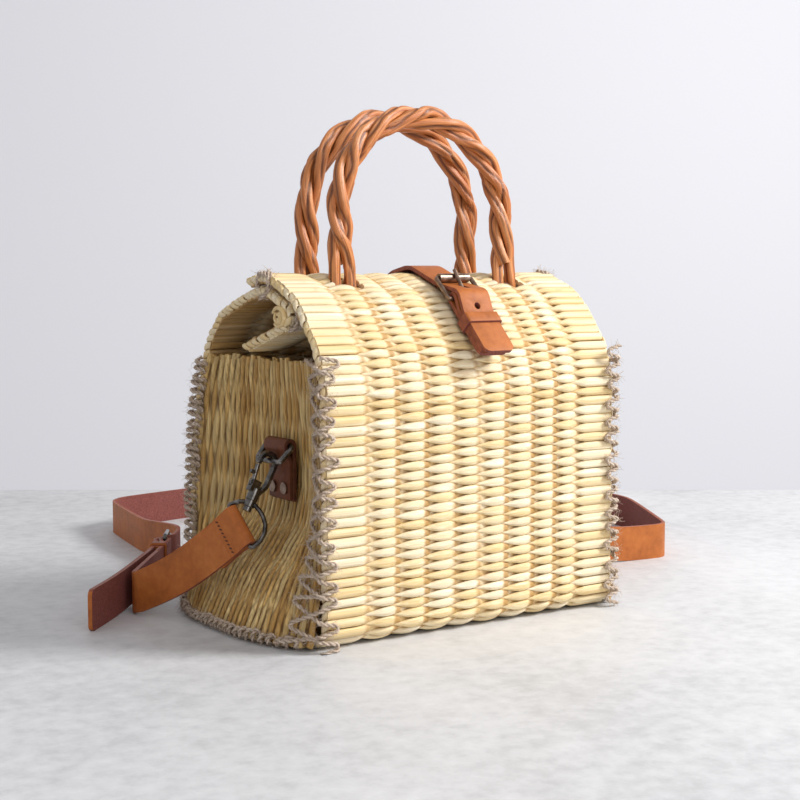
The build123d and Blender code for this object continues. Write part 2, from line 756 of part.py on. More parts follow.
def side_tab():
    """Leather tab folded round the ring's bar; its back layer lies on the panel."""
    points, radii = tab_sides
    if tab_plane.y_dir.X < 0:
        points = [(u, -v) for u, v in points]
    back_layer = tab_leather_fold
    front_layer = back_layer - tab_thickness - tab_layer_gap
    sign = 1 if tab_plane.y_dir.X > 0 else -1
    points[-2] = (points[-2][0], sign * front_layer)
    points[-1] = (points[-1][0], sign * front_layer)
    tab = leather_band(points, radii, tab_thickness, tab_width, tab_plane)
    for place, grip in tab_rivets:
        tab -= rod(place - Vector(3, 0, 0), place + Vector(9, 0, 0), rivet_radius)
    return tab


def tab_ring():
    """Rounded wire loop that hangs in the tab and takes the hook."""
    half = ring_inner_width / 2 + tab_ring_wire
    loop_plane = Plane(origin=tab_bar, x_dir=(0, 1, 0), z_dir=Vector(0, 1, 0).cross(ring_direction))
    corners = [(half, 0), (half * 0.86, ring_drop), (-half * 0.86, ring_drop), (-half, 0)]
    return wire_loop(corners, [ring_corner_radius] * 4, loop_plane, tab_ring_wire)


hook_plane = Plane(origin=hook_origin, x_dir=hook_side, z_dir=hook_axis)
gate_pivot = (-3.4, 9.2)
gate_tip = (-hook_eye_radius + 0.1, 19.2)
gate_pin_radius = 0.7
gate_eye_radius = 1.9
gate_half = 1.2
cheek_thickness = 1.0


def hook_point(x, z, y=0.0):
    return hook_plane.origin + hook_plane.x_dir * x + hook_plane.z_dir * z + hook_plane.y_dir * y


def across_hook(x, z, half, radius):
    return rod(hook_point(x, z, -half), hook_point(x, z, half), radius)


def hook_body():
    """Collar, spine and crook of the snap hook, with two cheeks for the gate's pin."""
    r = hook_eye_radius
    flat = [(1.6, 4.0), (r, 10.0), (r, hook_eye_height + r), (-r, hook_eye_height + r), (-r, 19.7)]
    upright = Plane(origin=hook_plane.origin, x_dir=hook_plane.x_dir, z_dir=-hook_plane.y_dir)
    path = Wire((upright * FilletPolyline(*flat, radius=[6.0, r - 0.02, r - 0.02])).edges())
    body = bent_wire(path, upright.z_dir, hook_wire)
    body += rod(hook_origin, hook_point(0, collar_length), collar_radius)
    cheek = 2 * (gate_half + 0.15 + cheek_thickness)
    body += hook_plane * Pos(-1.9, 0, 7.6) * Box(5.2, cheek, 6.4)
    body -= hook_plane * Pos(-3.4, 0, 10.6) * Box(8.2, 2 * (gate_half + 0.15), 7.0)
    body -= across_hook(*gate_pivot, cheek, gate_pin_radius)
    body -= rod(hook_point(0, -1), hook_point(0, 5.4), post_radius)
    return body


def hook_gate():
    """Sprung lever that closes the hook, with a thumb stud on the outside."""
    pivot = hook_point(*gate_pivot)
    tip = hook_point(*gate_tip)
    gate = across_hook(*gate_pivot, gate_half, gate_eye_radius)
    gate += rod(pivot, tip, hook_bar_radius)
    stud = (pivot + tip) * 0.5
    gate += rod(stud, stud - hook_side * 3.2, 1.1)
    return gate - across_hook(*gate_pivot, 3, gate_pin_radius + 0.08)


def hook_post():
    """Headed post that carries the hook in the swivel ring's boss."""
    ring_inside = swivel_ring_radius - boss_length / 2
    head_top = swivel_centre + hook_axis * (ring_inside - play)
    head = rod(head_top - hook_axis * 2.2, head_top, 2.3)
    return head + rod(head_top, hook_point(0, 5.4), post_radius)


def swivel_ring():
    """Wire D: straight bar in the strap's fold, arch towards the hook, with a bored boss."""
    radius = swivel_ring_radius
    ring_plane = Plane(origin=swivel_centre, x_dir=strap_across, z_dir=strap_across.cross(swivel_up))
    corners = [(radius, 0), (radius, radius), (-radius, radius), (-radius, 0)]
    ring = wire_loop(corners, [1.5, radius - 1.6, radius - 1.6, 1.5], ring_plane, swivel_ring_wire)
    boss_centre = swivel_centre + hook_axis * radius
    start = boss_centre - hook_axis * (boss_length / 2)
    end = boss_centre + hook_axis * (boss_length / 2)
    ring += rod(start, end, boss_radius)
    return ring - rod(start - hook_axis, end + hook_axis, post_radius + post_clearance)


strap_plane = Plane(origin=swivel_centre, x_dir=strap_along, z_dir=strap_across)
fold_run = 12.0
fold_tail = 24.0


def strap_fold():
    points, radii = fold_points(swivel_ring_wire, strap_thickness, fold_run, fold_tail)
    upper = swivel_ring_wire + leather_gap + strap_thickness / 2
    lower = upper - strap_thickness - 0.05
    points[-2] = (points[-2][0] + 2.0, lower)
    points[-1] = (points[-1][0], lower)
    return leather_band(points, radii, strap_thickness, strap_width, strap_plane)


# Crossbody strap: a short piece at the left with the adjusting buckle, and a long piece from the right

fold_upper = swivel_ring_wire + leather_gap + strap_thickness / 2
strap_start = swivel_centre + strap_normal * fold_upper + strap_along * fold_run
start_drop = strap_start.Z - strap_width / 2
drop_curve = 1.6
drop_length = start_drop * drop_curve / tan(radians(strap_start_slope))

adjuster_wire_fold = closure_wire + leather_gap + strap_thickness / 2
adjuster_lift = 3.5           # the buckle and keeper are wider than the strap and stand on the ground
adjuster_heel = Vector(-84.0, 138.0, strap_width / 2 + adjuster_lift)
adjuster_along = unit(Vector(-0.593, -0.805, 0))
adjuster_out = unit(Vector(-0.805, 0.593, 0))
adjuster_plane = buckle_plane(adjuster_heel, adjuster_along, adjuster_out)
adjuster_run = 16.0
adjuster_tail = 27.0
adjuster_lower_v = -adjuster_wire_fold
adjuster_upper_v = adjuster_lower_v + strap_thickness + stack_gap
adjuster_tongue_v = adjuster_upper_v + strap_thickness + stack_gap
adjuster_under_at = (-17.0, -2.6)
adjuster_roller_at = (-17.8, adjuster_under_at[1] + strap_thickness / 2 + 0.5 + roller_radius)
adjuster_over_heel = (0.6, adjuster_wire_fold + strap_thickness + 1.3)


def buckle_lift(place):
    """How far the strap is carried off the ground by the adjusting buckle, near it."""
    distance = sqrt((place.X - adjuster_heel.X) ** 2 + (place.Y - adjuster_heel.Y) ** 2)
    return adjuster_lift * smooth(1 - (distance - 52.0) / 45.0)


def along_adjuster(u, v):
    point = adjuster_heel + adjuster_along * u + adjuster_out * v
    return (point.X, point.Y)


short_bend = (-141.0, 64.0)
short_route = [
    (strap_start.X, strap_start.Y),
    short_bend,
    along_adjuster(48.0, adjuster_lower_v),
    along_adjuster(adjuster_run, adjuster_lower_v),
]
short_strap = standing_strap(route_stations(short_route, [13.0, 60.0]), drop_length, start_drop, drop_curve)
short_strap += strap_fold()

adjuster_points, adjuster_radii = fold_points(closure_wire, strap_thickness, adjuster_run, adjuster_tail)
adjuster_points = [(u, -v) for u, v in adjuster_points]
adjuster_points[-2] = (adjuster_points[-2][0] + 1.5, adjuster_upper_v)
adjuster_points[-1] = (adjuster_points[-1][0], adjuster_upper_v)
adjuster_fold = leather_band(adjuster_points, adjuster_radii, strap_thickness, strap_width, adjuster_plane)
short_strap += adjuster_fold - prong_slot(adjuster_plane)

tongue_tip = (-178.0, 36.0)
long_route = [
    (-strap_start.X, strap_start.Y),
    (132.0, 28.5),
    (231.0, 17.0),
    (292.0, 120.0),
    (300.0, 232.0),
    (222.0, 322.0),
    (70.0, 356.0),
    (-36.0, 334.0),
    (-54.0, 236.0),
    along_adjuster(-46.0, adjuster_under_at[1]),
    along_adjuster(*adjuster_under_at),
    along_adjuster(*adjuster_over_heel),
    along_adjuster(13.0, adjuster_tongue_v),
    along_adjuster(44.0, adjuster_tongue_v),
    tongue_tip,
]
long_radii = [16.0, 14.0, 70.0, 60.0, 60.0, 70.0, 30.0, 80.0, 40.0, 10.0, 7.0, 10.0, 90.0]
long_strap = standing_strap(route_stations(long_route, long_radii), drop_length, start_drop, drop_curve)
long_strap += mirrored(strap_fold(), right_side)
long_strap -= prong_hole(adjuster_plane, adjuster_roller_at, adjuster_under_at, adjuster_over_heel)
tip_heading = unit(Vector(*tongue_tip) - Vector(*long_route[-2]))
tip_across = Vector(0, 0, 1)
tip_end = Vector(tongue_tip[0], tongue_tip[1], strap_width / 2)
long_strap -= rounded_tip(tip_end, tip_heading, tip_across, tip_heading.cross(tip_across), strap_width, 4.0)

adjuster_frame = buckle_frame(adjuster_plane, adjuster_roller_at, strap_width)
adjuster_roller = buckle_roller(adjuster_plane, adjuster_roller_at, strap_width)
adjuster_prong = buckle_prong(adjuster_plane, adjuster_roller_at)
adjuster_half = strap_thickness / 2
adjuster_keeper = keeper(
    adjuster_plane, 20.5, adjuster_lower_v - adjuster_half, adjuster_tongue_v + adjuster_half, strap_width)

# Rivets that hold the closing strap: two at the back flap, two low ones inside the buckle strap's fold

low_head = 0.7
anchor_at = 4.2
anchor_spread = 5.5


def closure_anchors():
    group = []
    base_v = lower_layer_v + closure_half
    for offset in (-anchor_spread, anchor_spread):
        top = closure_heel + closure_along * anchor_at + closure_out * base_v + Vector(offset, 0, 0)
        grip = closure_thickness + closure_lift + reed_ridge + mat_core + 0.4
        shank = rod(top, top - closure_out * grip, 1.1)
        head = rod(top, top + closure_out * low_head, 1.6)
        washer = rod(top - closure_out * grip, top - closure_out * (grip + 0.8), rivet_head_radius)
        group.append(shank + head + washer)
    return group


def tongue_anchors():
    group = []
    start = Vector(*tongue_points[0])
    run = unit(start - Vector(*tongue_points[1]))
    out = Vector(-run.Y, run.X)
    for offset in (-tongue_rivet_spread, tongue_rivet_spread):
        flat = start - run * 5.0 + out * (closure_thickness / 2)
        top = Vector(closure_x + offset, flat.X, flat.Y)
        inward = Vector(0, -out.X, -out.Y)
        grip = closure_thickness + 0.5 + reed_ridge + mat_core + 0.5
        group.append(rivet(top, inward, grip, left_side))
    return group


buckle_rivets = closure_anchors()
tongue_rivets = tongue_anchors()
for fastener in buckle_rivets:
    body_mat -= fastener
    closure_buckle_strap -= fastener
for fastener in tongue_rivets:
    body_mat -= fastener
    closure_tongue -= fastener

tab_rivet_solids = [rivet(place, Vector(1, 0, 0), grip, left_side) for place, grip in tab_rivets]
left_tab = side_tab()
for fastener in tab_rivet_solids:
    left_panel -= fastener
    left_tab -= fastener

nodes = {
    "body_mat": body_mat,
    "closure_tongue_strap": closure_tongue,
    "closure_buckle_strap": closure_buckle_strap,
    "closure_frame": closure_frame,
    "closure_roller": closure_roller,
    "closure_prong": closure_prong,
    "closure_keeper": closure_keeper,
    "closure_buckle_rivets": Compound(buckle_rivets),
    "closure_tongue_rivets": Compound(tongue_rivets),
    "strap_short": short_strap,
    "strap_long": long_strap,
    "adjuster_frame": adjuster_frame,
    "adjuster_roller": adjuster_roller,
    "adjuster_prong": adjuster_prong,
    "adjuster_keeper": adjuster_keeper,
}
for number, strand in enumerate(front_strands, 1):
    nodes[f"front_handle_strand_{number}"] = strand
for number, strand in enumerate(back_strands, 1):
    nodes[f"back_handle_strand_{number}"] = strand

left_pieces = {
    "side_panel": left_panel,
    "side_tab": left_tab,
    "tab_rivets": Compound(tab_rivet_solids),
    "tab_ring": tab_ring(),
    "hook_body": hook_body(),
    "hook_gate": hook_gate(),
    "hook_gate_pin": across_hook(*gate_pivot, gate_half + 0.15 + cheek_thickness, gate_pin_radius),
    "hook_post": hook_post(),
    "swivel_ring": swivel_ring(),
}
for name, shape in left_pieces.items():
    nodes[f"left_{name}"] = shape
    nodes[f"right_{name}"] = mirrored(shape, right_side)

os.makedirs("parts", exist_ok=True)
for name, shape in nodes.items():
    export_step(shape, f"parts/{name}.step")
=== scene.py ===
import json
import math
import random

import bmesh
import bpy
from mathutils import Matrix, Vector


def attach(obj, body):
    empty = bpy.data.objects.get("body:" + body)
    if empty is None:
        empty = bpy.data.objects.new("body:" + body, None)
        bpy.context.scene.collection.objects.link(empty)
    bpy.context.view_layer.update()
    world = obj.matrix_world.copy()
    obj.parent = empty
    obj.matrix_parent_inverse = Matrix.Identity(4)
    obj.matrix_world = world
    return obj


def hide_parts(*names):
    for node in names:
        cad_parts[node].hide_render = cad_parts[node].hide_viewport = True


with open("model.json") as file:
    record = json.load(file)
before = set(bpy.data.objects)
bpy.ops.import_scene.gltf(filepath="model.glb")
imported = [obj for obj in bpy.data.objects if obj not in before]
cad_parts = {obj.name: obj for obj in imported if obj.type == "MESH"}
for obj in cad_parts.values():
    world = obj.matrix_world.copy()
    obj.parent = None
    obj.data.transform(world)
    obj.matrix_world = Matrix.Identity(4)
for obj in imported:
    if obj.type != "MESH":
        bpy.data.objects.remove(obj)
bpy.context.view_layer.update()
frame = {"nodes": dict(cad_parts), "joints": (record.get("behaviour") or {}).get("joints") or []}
nodes = frame["nodes"]
joints = {joint["name"]: joint for joint in frame["joints"]}
mm = 0.001
bothSides = ((-1, "left"), (1, "right"))
print("frame loaded")


# Camera and lamps

view = {
    "place": (-0.501, -0.729, 0.197),
    "yaw": 34.5,            # degrees from +Y towards +X
    "dip": 5.0,             # degrees below level
    "focalPixels": 1533.0,
    "imagePixels": 800.0,
    "sensorWidth": 36.0,
    "nearest": 0.01,
}


def finished(name, data):
    thing = bpy.data.objects.new(name, data)
    bpy.context.scene.collection.objects.link(thing)
    return thing


def aimed(name, data, place, direction):
    thing = finished(name, data)
    thing.location = place
    thing.rotation_mode = "QUATERNION"
    thing.rotation_quaternion = direction.to_track_quat("-Z", "Y")
    return thing


def makeCamera():
    data = bpy.data.cameras.new("camera")
    data.sensor_width = view["sensorWidth"]
    data.lens = view["sensorWidth"] * view["focalPixels"] / view["imagePixels"]
    data.clip_start = view["nearest"]
    yaw = math.radians(view["yaw"])
    dip = math.radians(view["dip"])
    ahead = Vector((math.sin(yaw) * math.cos(dip), math.cos(yaw) * math.cos(dip), -math.sin(dip)))
    bpy.context.scene.camera = aimed("camera", data, view["place"], ahead)


def areaLamp(name, place, target, size, power):
    data = bpy.data.lights.new(name, "AREA")
    data.shape = "DISK"
    data.size = size
    data.energy = power
    aimed(name, data, place, Vector(target) - Vector(place))


# Node trees as Python expressions

class Value:
    def __init__(self, graph, socket):
        self.graph = graph
        self.socket = socket

    def __neg__(self):
        return self * -1.0

    def __abs__(self):
        return self.graph.maths("ABSOLUTE", self)

    def __gt__(self, other):
        return self.graph.maths("GREATER_THAN", self, other)

    def __lt__(self, other):
        return self.graph.maths("LESS_THAN", self, other)


def addOperator(name, operation):
    setattr(Value, f"__{name}__", lambda own, other: own.graph.maths(operation, own, other))
    setattr(Value, f"__r{name}__", lambda own, other: own.graph.maths(operation, other, own))


for name, operation in (("add", "ADD"), ("sub", "SUBTRACT"), ("mul", "MULTIPLY"), ("truediv", "DIVIDE"),
                        ("pow", "POWER")):
    addOperator(name, operation)


class Graph:
    def __init__(self, tree):
        self.tree = tree

    def node(self, kind, sockets=None, **settings):
        made = self.tree.nodes.new(kind)
        for name, value in settings.items():
            if name == "stops":
                self.fillRamp(made.color_ramp, value)
            elif name == "curve":
                self.fillCurve(made.mapping, value)
            else:
                setattr(made, name, value)
        for key, value in (sockets or {}).items():
            self.feed(self.pick(made.inputs, key), value)
        return made

    def add(self, kind, sockets=None, output=0, **settings):
        made = self.node(kind, sockets, **settings)
        return Value(self, self.pick(made.outputs, output))

    def pick(self, sockets, key):
        if isinstance(key, int):
            return sockets[key]
        return next(socket for socket in sockets if socket.name == key and socket.enabled)

    def feed(self, socket, value):
        for item in value if isinstance(value, list) else [value]:
            if isinstance(item, Value):
                self.tree.links.new(item.socket, socket)
            else:
                socket.default_value = item

    def fillRamp(self, ramp, stops):
        while len(ramp.elements) < len(stops):
            ramp.elements.new(0.5)
        for element, (place, colour) in zip(ramp.elements, stops):
            element.position = place
            element.color = (*colour, 1.0)

    def fillCurve(self, mapping, points):
        line = mapping.curves[0]
        line.points[0].location = points[0]
        line.points[1].location = points[-1]
        for point in points[1:-1]:
            line.points.new(*point)
        mapping.update()

    def maths(self, operation, *values):
        return self.add("ShaderNodeMath", dict(enumerate(values)), operation=operation)

    def atLeast(self, value, low):
        return self.maths("MAXIMUM", value, low)

    def atMost(self, value, high):
        return self.maths("MINIMUM", value, high)

    def cosine(self, angle):
        return self.maths("COSINE", angle)

    def sine(self, angle):
        return self.maths("SINE", angle)

    def split(self, vector):
        made = self.node("ShaderNodeSeparateXYZ", {0: vector})
        return [Value(self, socket) for socket in made.outputs]

    def join(self, x, y, z):
        return self.add("ShaderNodeCombineXYZ", {0: x, 1: y, 2: z})

    def alongX(self, x):
        return self.join(x, 0.0, 0.0)

    def vectors(self, operation, first, second):
        return self.add("ShaderNodeVectorMath", {0: first, 1: second}, operation=operation)

    def scaled(self, vector, factor):
        return self.add("ShaderNodeVectorMath", {0: vector, "Scale": factor}, operation="SCALE")

    def noise(self, vector, scale, detail, roughness=0.5, output=0):
        sockets = {"Vector": vector, "Scale": scale, "Detail": detail, "Roughness": roughness}
        return self.add("ShaderNodeTexNoise", sockets, output)

    def ramp(self, factor, stops):
        return self.add("ShaderNodeValToRGB", {0: factor}, stops=stops)

    def mixColour(self, factor, first, second):
        return self.add("ShaderNodeMix", {0: factor, 6: first, 7: second}, 2, data_type="RGBA")

    def attribute(self, name):
        return self.add("ShaderNodeAttribute", output="Fac", attribute_name=name)

    def named(self, name):
        return self.add("GeometryNodeInputNamedAttribute", {"Name": name}, "Attribute", data_type="FLOAT")

    def store(self, geometry, name, value, domain="POINT"):
        sockets = {"Geometry": geometry, "Name": name, "Value": value}
        return self.add("GeometryNodeStoreNamedAttribute", sockets, data_type="FLOAT", domain=domain)

    def random(self, low, high, seed):
        sockets = {"Min": low, "Max": high, "Seed": seed}
        return self.add("FunctionNodeRandomValue", sockets, "Value", data_type="FLOAT")

    def position(self):
        return self.add("GeometryNodeInputPosition")

    def moved(self, geometry, place):
        return self.add("GeometryNodeSetPosition", {"Geometry": geometry, "Position": place})

    def together(self, parts):
        return self.add("GeometryNodeJoinGeometry", {0: parts})

    def realized(self, geometry):
        return self.add("GeometryNodeRealizeInstances", {"Geometry": geometry})

    def curveRadius(self):
        return self.add("GeometryNodeInputRadius")

    def filleted(self, line, count, radius):
        sockets = {"Curve": line, "Count": count, "Radius": radius}
        return self.add("GeometryNodeFilletCurve", sockets, mode="POLY")

    def resampled(self, line, count):
        return self.add("GeometryNodeResampleCurve", {"Curve": line, "Count": count})

    def circle(self, corners, radius):
        sockets = {"Resolution": corners, "Radius": radius}
        return self.add("GeometryNodeCurvePrimitiveCircle", sockets)

    def sweep(self, line, profile, scale=1.0):
        return self.add("GeometryNodeCurveToMesh",
                        {"Curve": line, "Profile Curve": profile, "Scale": scale, "Fill Caps": True})

    def objectPlace(self):
        return self.add("ShaderNodeTexCoord", output="Object")

    def bump(self, height, strength, distance):
        sockets = {"Strength": strength, "Distance": distance, "Height": height}
        return self.add("ShaderNodeBump", sockets)


def newMaterial(name, **constants):
    material = bpy.data.materials.new(name)
    material.use_nodes = True
    graph = Graph(material.node_tree)
    shader = next(node for node in material.node_tree.nodes if node.type == "BSDF_PRINCIPLED")
    dress(graph, shader, **constants)
    return material, graph, shader


def dress(graph, shader, **finish):
    for key, value in finish.items():
        graph.feed(shader.inputs[key.replace("_", " ")], value)


# Materials; a noise takes its scale, detail and roughness

# dried reed: long fibres along the stem, some stems darker, brown flecks, and painted shade in its hollows
def reedMaterial(name, look, grainAxis):
    material, graph, shader = newMaterial(name, IOR=1.45)
    place = graph.objectPlace()
    fine, broad, fleck = [Vector((1, 1, 1)) * size for size in (1500.0, 420.0, 160.0)]
    fine[grainAxis], broad[grainAxis], fleck[grainAxis] = 28.0, 14.0, 60.0
    fibres = graph.noise(graph.vectors("MULTIPLY", place, fine), 1.0, 3.0, 0.6)
    stems = graph.noise(graph.vectors("MULTIPLY", place, broad), 1.0, 2.0)
    flecks = graph.noise(graph.vectors("MULTIPLY", place, fleck), 1.0, 2.0, 0.6)
    tone = graph.attribute("reedTone")
    shade = look["toneShare"] * tone + 0.34 * stems + 0.40 * fibres
    colour = graph.ramp(shade, look["stops"])
    stained = graph.atMost(graph.atLeast((flecks - 0.66) * 6.0 * look["stain"], 0.0), 0.8)
    colour = graph.mixColour(stained, colour, (*look["stainColour"], 1.0))
    # painted shade where a reed dips under the next one and at each stroke's tip
    depth = graph.attribute("reedDepth") * look["depthShade"]
    across = graph.attribute("reedSide") + 0.5 * (stems - 0.5)
    # painted shade along the groove in the middle of each reed
    seam = graph.atLeast(1.0 - abs(across) * 9.0, 0.0) * look["seamShade"]
    # painted shade at each reed's sides, between the strokes
    rim = graph.atLeast(abs(across) - 0.70, 0.0) * look["rimShade"]
    colour = graph.mixColour(graph.atMost(depth + seam + rim, 0.9), colour, (*look["paintedShadeColour"], 1.0))
    dress(graph, shader, Base_Color=colour, Roughness=0.42 + 0.30 * fibres,
          Normal=graph.bump(fibres + 0.6 * stems, 0.55, 0.6 * mm))
    return material


def willowMaterial(look):
    material, graph, shader = newMaterial("willow", IOR=1.5, Coat_Roughness=0.25)
    along = graph.attribute("along")
    around = graph.attribute("around")
    place = graph.join(along * 9.0, graph.cosine(around) * 2.6, graph.sine(around) * 2.6)
    streaks = graph.noise(graph.vectors("MULTIPLY", place, (2.0, 5.0, 5.0)), 1.0, 4.0, 0.65)
    patches = graph.noise(graph.vectors("MULTIPLY", place, (1.6, 0.8, 0.8)), 1.0, 2.0)
    colour = graph.ramp(0.55 * streaks + 0.45 * patches, look["stops"])
    # painted shade in the creases between the splits
    crease = graph.atMost(graph.attribute("crease") * 0.9, 0.9)
    colour = graph.mixColour(crease, colour, (*look["creaseShadeColour"], 1.0))
    dress(graph, shader, Base_Color=colour, Roughness=0.24 + 0.30 * streaks, Coat_Weight=0.35 * patches,
          Normal=graph.bump(streaks, 0.5, 0.8 * mm))
    return material


# grain side, napped flesh side and painted edge in one, told apart by the piece's own attributes
def leatherMaterial(name, look):
    material, graph, shader = newMaterial(name, IOR=1.45, Specular_IOR_Level=0.32)
    place = graph.objectPlace()
    flesh = graph.attribute("flesh")
    edge = graph.attribute("edge")
    cloudy = graph.noise(place, 45.0, 3.0, 0.55)
    mottled = graph.noise(place, 260.0, 3.0, 0.6)
    grain = graph.add("ShaderNodeTexVoronoi", {"Vector": place, "Scale": 1500.0}, "Distance",
                      feature="DISTANCE_TO_EDGE")
    grainTone = graph.ramp(0.62 * cloudy + 0.38 * mottled, look["grainStops"])
    fleshTone = graph.ramp(graph.noise(place, 900.0, 2.0, 0.7), look["fleshStops"])
    edgeTone = graph.ramp(mottled, look["edgeStops"])
    colour = graph.mixColour(flesh, grainTone, fleshTone)
    colour = graph.mixColour(edge, colour, edgeTone)
    relief = graph.atMost(grain * 5.0, 0.5) + 0.5 * mottled
    dress(graph, shader, Base_Color=colour, Roughness=0.40 + 0.18 * cloudy + 0.30 * flesh,
          Normal=graph.bump(relief, 0.28, 0.4 * mm))
    return material


def metalMaterial(name, look):
    material, graph, shader = newMaterial(name)
    place = graph.objectPlace()
    worn = graph.noise(place, 210.0, 3.0, 0.6)
    fine = graph.noise(place, 1600.0, 2.0)
    dress(graph, shader, Base_Color=graph.ramp(worn, look["stops"]), Metallic=1.0 - 0.12 * fine,
          Roughness=look["roughness"] + 0.20 * worn, Normal=graph.bump(fine, 0.08, 0.2 * mm))
    return material


def juteMaterial(look):
    material, graph, shader = newMaterial("jute", IOR=1.4)
    place = graph.objectPlace()
    tufts = graph.noise(place, 300.0, 3.0, 0.6)
    hairs = graph.noise(place, 1900.0, 2.0, 0.6)
    dress(graph, shader, Base_Color=graph.ramp(0.6 * tufts + 0.4 * hairs, look["stops"]),
          Roughness=0.75 + 0.20 * hairs, Normal=graph.bump(hairs, 0.6, 0.4 * mm))
    return material


def floorMaterial(look):
    material, graph, shader = newMaterial("paleFloor")
    place = graph.objectPlace()
    clouds = graph.noise(place, 6.0, 4.0, 0.6)
    specks = graph.noise(place, 90.0, 3.0, 0.65)
    dress(graph, shader, Base_Color=graph.ramp(0.5 * clouds + 0.5 * specks, look["stops"]),
          Roughness=0.45 + 0.2 * clouds)
    return material


strawLook = {
    "stops": [(0.20, (0.66, 0.42, 0.15)), (0.36, (0.86, 0.66, 0.33)), (0.50, (0.93, 0.78, 0.49)),
              (0.74, (0.96, 0.88, 0.68))],
    "toneShare": 0.30,
    "stain": 0.5,
    "stainColour": (0.55, 0.27, 0.12),
    # painted shade: how dark the dips and tips, the middle groove and the sides are made, and its colour
    "depthShade": 0.8,
    "seamShade": 0.30,
    "rimShade": 3.0,
    "paintedShadeColour": (0.44, 0.23, 0.055),
}
sideReedLook = {
    "stops": [(0.18, (0.30, 0.13, 0.03)), (0.36, (0.60, 0.33, 0.085)), (0.56, (0.80, 0.50, 0.16)),
              (0.80, (0.92, 0.68, 0.30))],
    "toneShare": 0.50,
    "stain": 0.7,
    "stainColour": (0.26, 0.12, 0.04),
    # painted shade: how dark the dips, the middle groove and the sides are made, and its colour
    "depthShade": 0.6,
    "seamShade": 0.5,
    "rimShade": 3.4,
    "paintedShadeColour": (0.10, 0.042, 0.010),
}
willowLook = {
    "stops": [(0.26, (0.27, 0.060, 0.012)), (0.42, (0.50, 0.145, 0.032)), (0.54, (0.68, 0.25, 0.070)),
              (0.72, (0.92, 0.54, 0.25))],
    # colour of the painted shade in the creases
    "creaseShadeColour": (0.11, 0.028, 0.008),
}
tanLook = {
    "grainStops": [(0.30, (0.29, 0.082, 0.017)), (0.52, (0.44, 0.130, 0.028)), (0.75, (0.55, 0.185, 0.045))],
    "fleshStops": [(0.30, (0.16, 0.045, 0.035)), (0.70, (0.27, 0.085, 0.07))],
    "edgeStops": [(0.30, (0.22, 0.06, 0.035)), (0.70, (0.36, 0.11, 0.06))],
}
# painted shade: a darker copy of the tan leather, for the side tabs that lie in shade
shadedTanLook = {
    "grainStops": [(0.30, (0.085, 0.026, 0.011)), (0.52, (0.15, 0.045, 0.018)),
                   (0.75, (0.23, 0.075, 0.028))],
    "fleshStops": tanLook["fleshStops"],
    "edgeStops": [(0.30, (0.07, 0.022, 0.012)), (0.70, (0.14, 0.045, 0.022))],
}
bronzeLook = {
    "stops": [(0.30, (0.14, 0.085, 0.06)), (0.55, (0.30, 0.21, 0.155)), (0.80, (0.50, 0.39, 0.31))],
    "roughness": 0.24,
}
steelLook = {
    "stops": [(0.30, (0.06, 0.054, 0.05)), (0.55, (0.16, 0.15, 0.14)), (0.80, (0.38, 0.36, 0.34))],
    "roughness": 0.10,
}
juteLook = {"stops": [(0.28, (0.34, 0.24, 0.17)), (0.48, (0.56, 0.44, 0.34)), (0.72, (0.76, 0.65, 0.54))]}
floorLook = {"stops": [(0.36, (0.50, 0.50, 0.505)), (0.50, (0.60, 0.60, 0.605)),
                       (0.62, (0.66, 0.66, 0.665))]}
alongX, alongZ = 0, 2

straw = reedMaterial("straw", strawLook, alongX)
sideReed = reedMaterial("sideReed", sideReedLook, alongZ)
willow = willowMaterial(willowLook)
tanLeather = leatherMaterial("tanLeather", tanLook)
shadedTanLeather = leatherMaterial("shadedTanLeather", shadedTanLook)
thread = newMaterial("thread", Base_Color=(0.085, 0.030, 0.014, 1.0), Roughness=0.8)[0]
bronze = metalMaterial("bronze", bronzeLook)
darkSteel = metalMaterial("darkSteel", steelLook)
jute = juteMaterial(juteLook)
print("materials made")


# Geometry trees, from a dictionary of named inputs to a plain mesh

def newTree(name, inputs):
    tree = bpy.data.node_groups.new(name, "GeometryNodeTree")
    face = tree.interface
    face.new_socket("Geometry", in_out="INPUT", socket_type="NodeSocketGeometry")
    for key, value in inputs.items():
        kind = "NodeSocketInt" if isinstance(value, int) else "NodeSocketFloat"
        face.new_socket(key, in_out="INPUT", socket_type=kind).default_value = value
    face.new_socket("Geometry", in_out="OUTPUT", socket_type="NodeSocketGeometry")
    graph = Graph(tree)
    entry = tree.nodes.new("NodeGroupInput")
    given = {socket.name: Value(graph, socket) for socket in entry.outputs if socket.name}
    return graph, given


def closeTree(graph, geometry, material):
    shaded = graph.add("GeometryNodeSetShadeSmooth", {"Geometry": graph.realized(geometry)})
    dressed = graph.add("GeometryNodeSetMaterial", {"Geometry": shaded, "Material": material})
    out = graph.tree.nodes.new("NodeGroupOutput")
    graph.tree.links.new(dressed.socket, out.inputs[0])


# runs the tree on the source data
def bakeNodes(name, source, graph, values):
    carrier = finished(name + "Source", source)
    modifier = carrier.modifiers.new("nodes", "NODES")
    modifier.node_group = graph.tree
    for item in graph.tree.interface.items_tree:
        if item.in_out == "INPUT" and item.name in values:
            modifier[item.identifier] = values[item.name]
    return finished(name, plainMesh(name, carrier))


def plainMesh(name, carrier):
    bpy.context.view_layer.update()
    seen = carrier.evaluated_get(bpy.context.evaluated_depsgraph_get())
    mesh = bpy.data.meshes.new_from_object(seen)
    mesh.name = name
    bpy.data.objects.remove(carrier)
    return mesh


def turnOutwards(mesh):
    shell = bmesh.new()
    shell.from_mesh(mesh)
    bmesh.ops.recalc_face_normals(shell, faces=shell.faces)
    shell.to_mesh(mesh)
    shell.free()


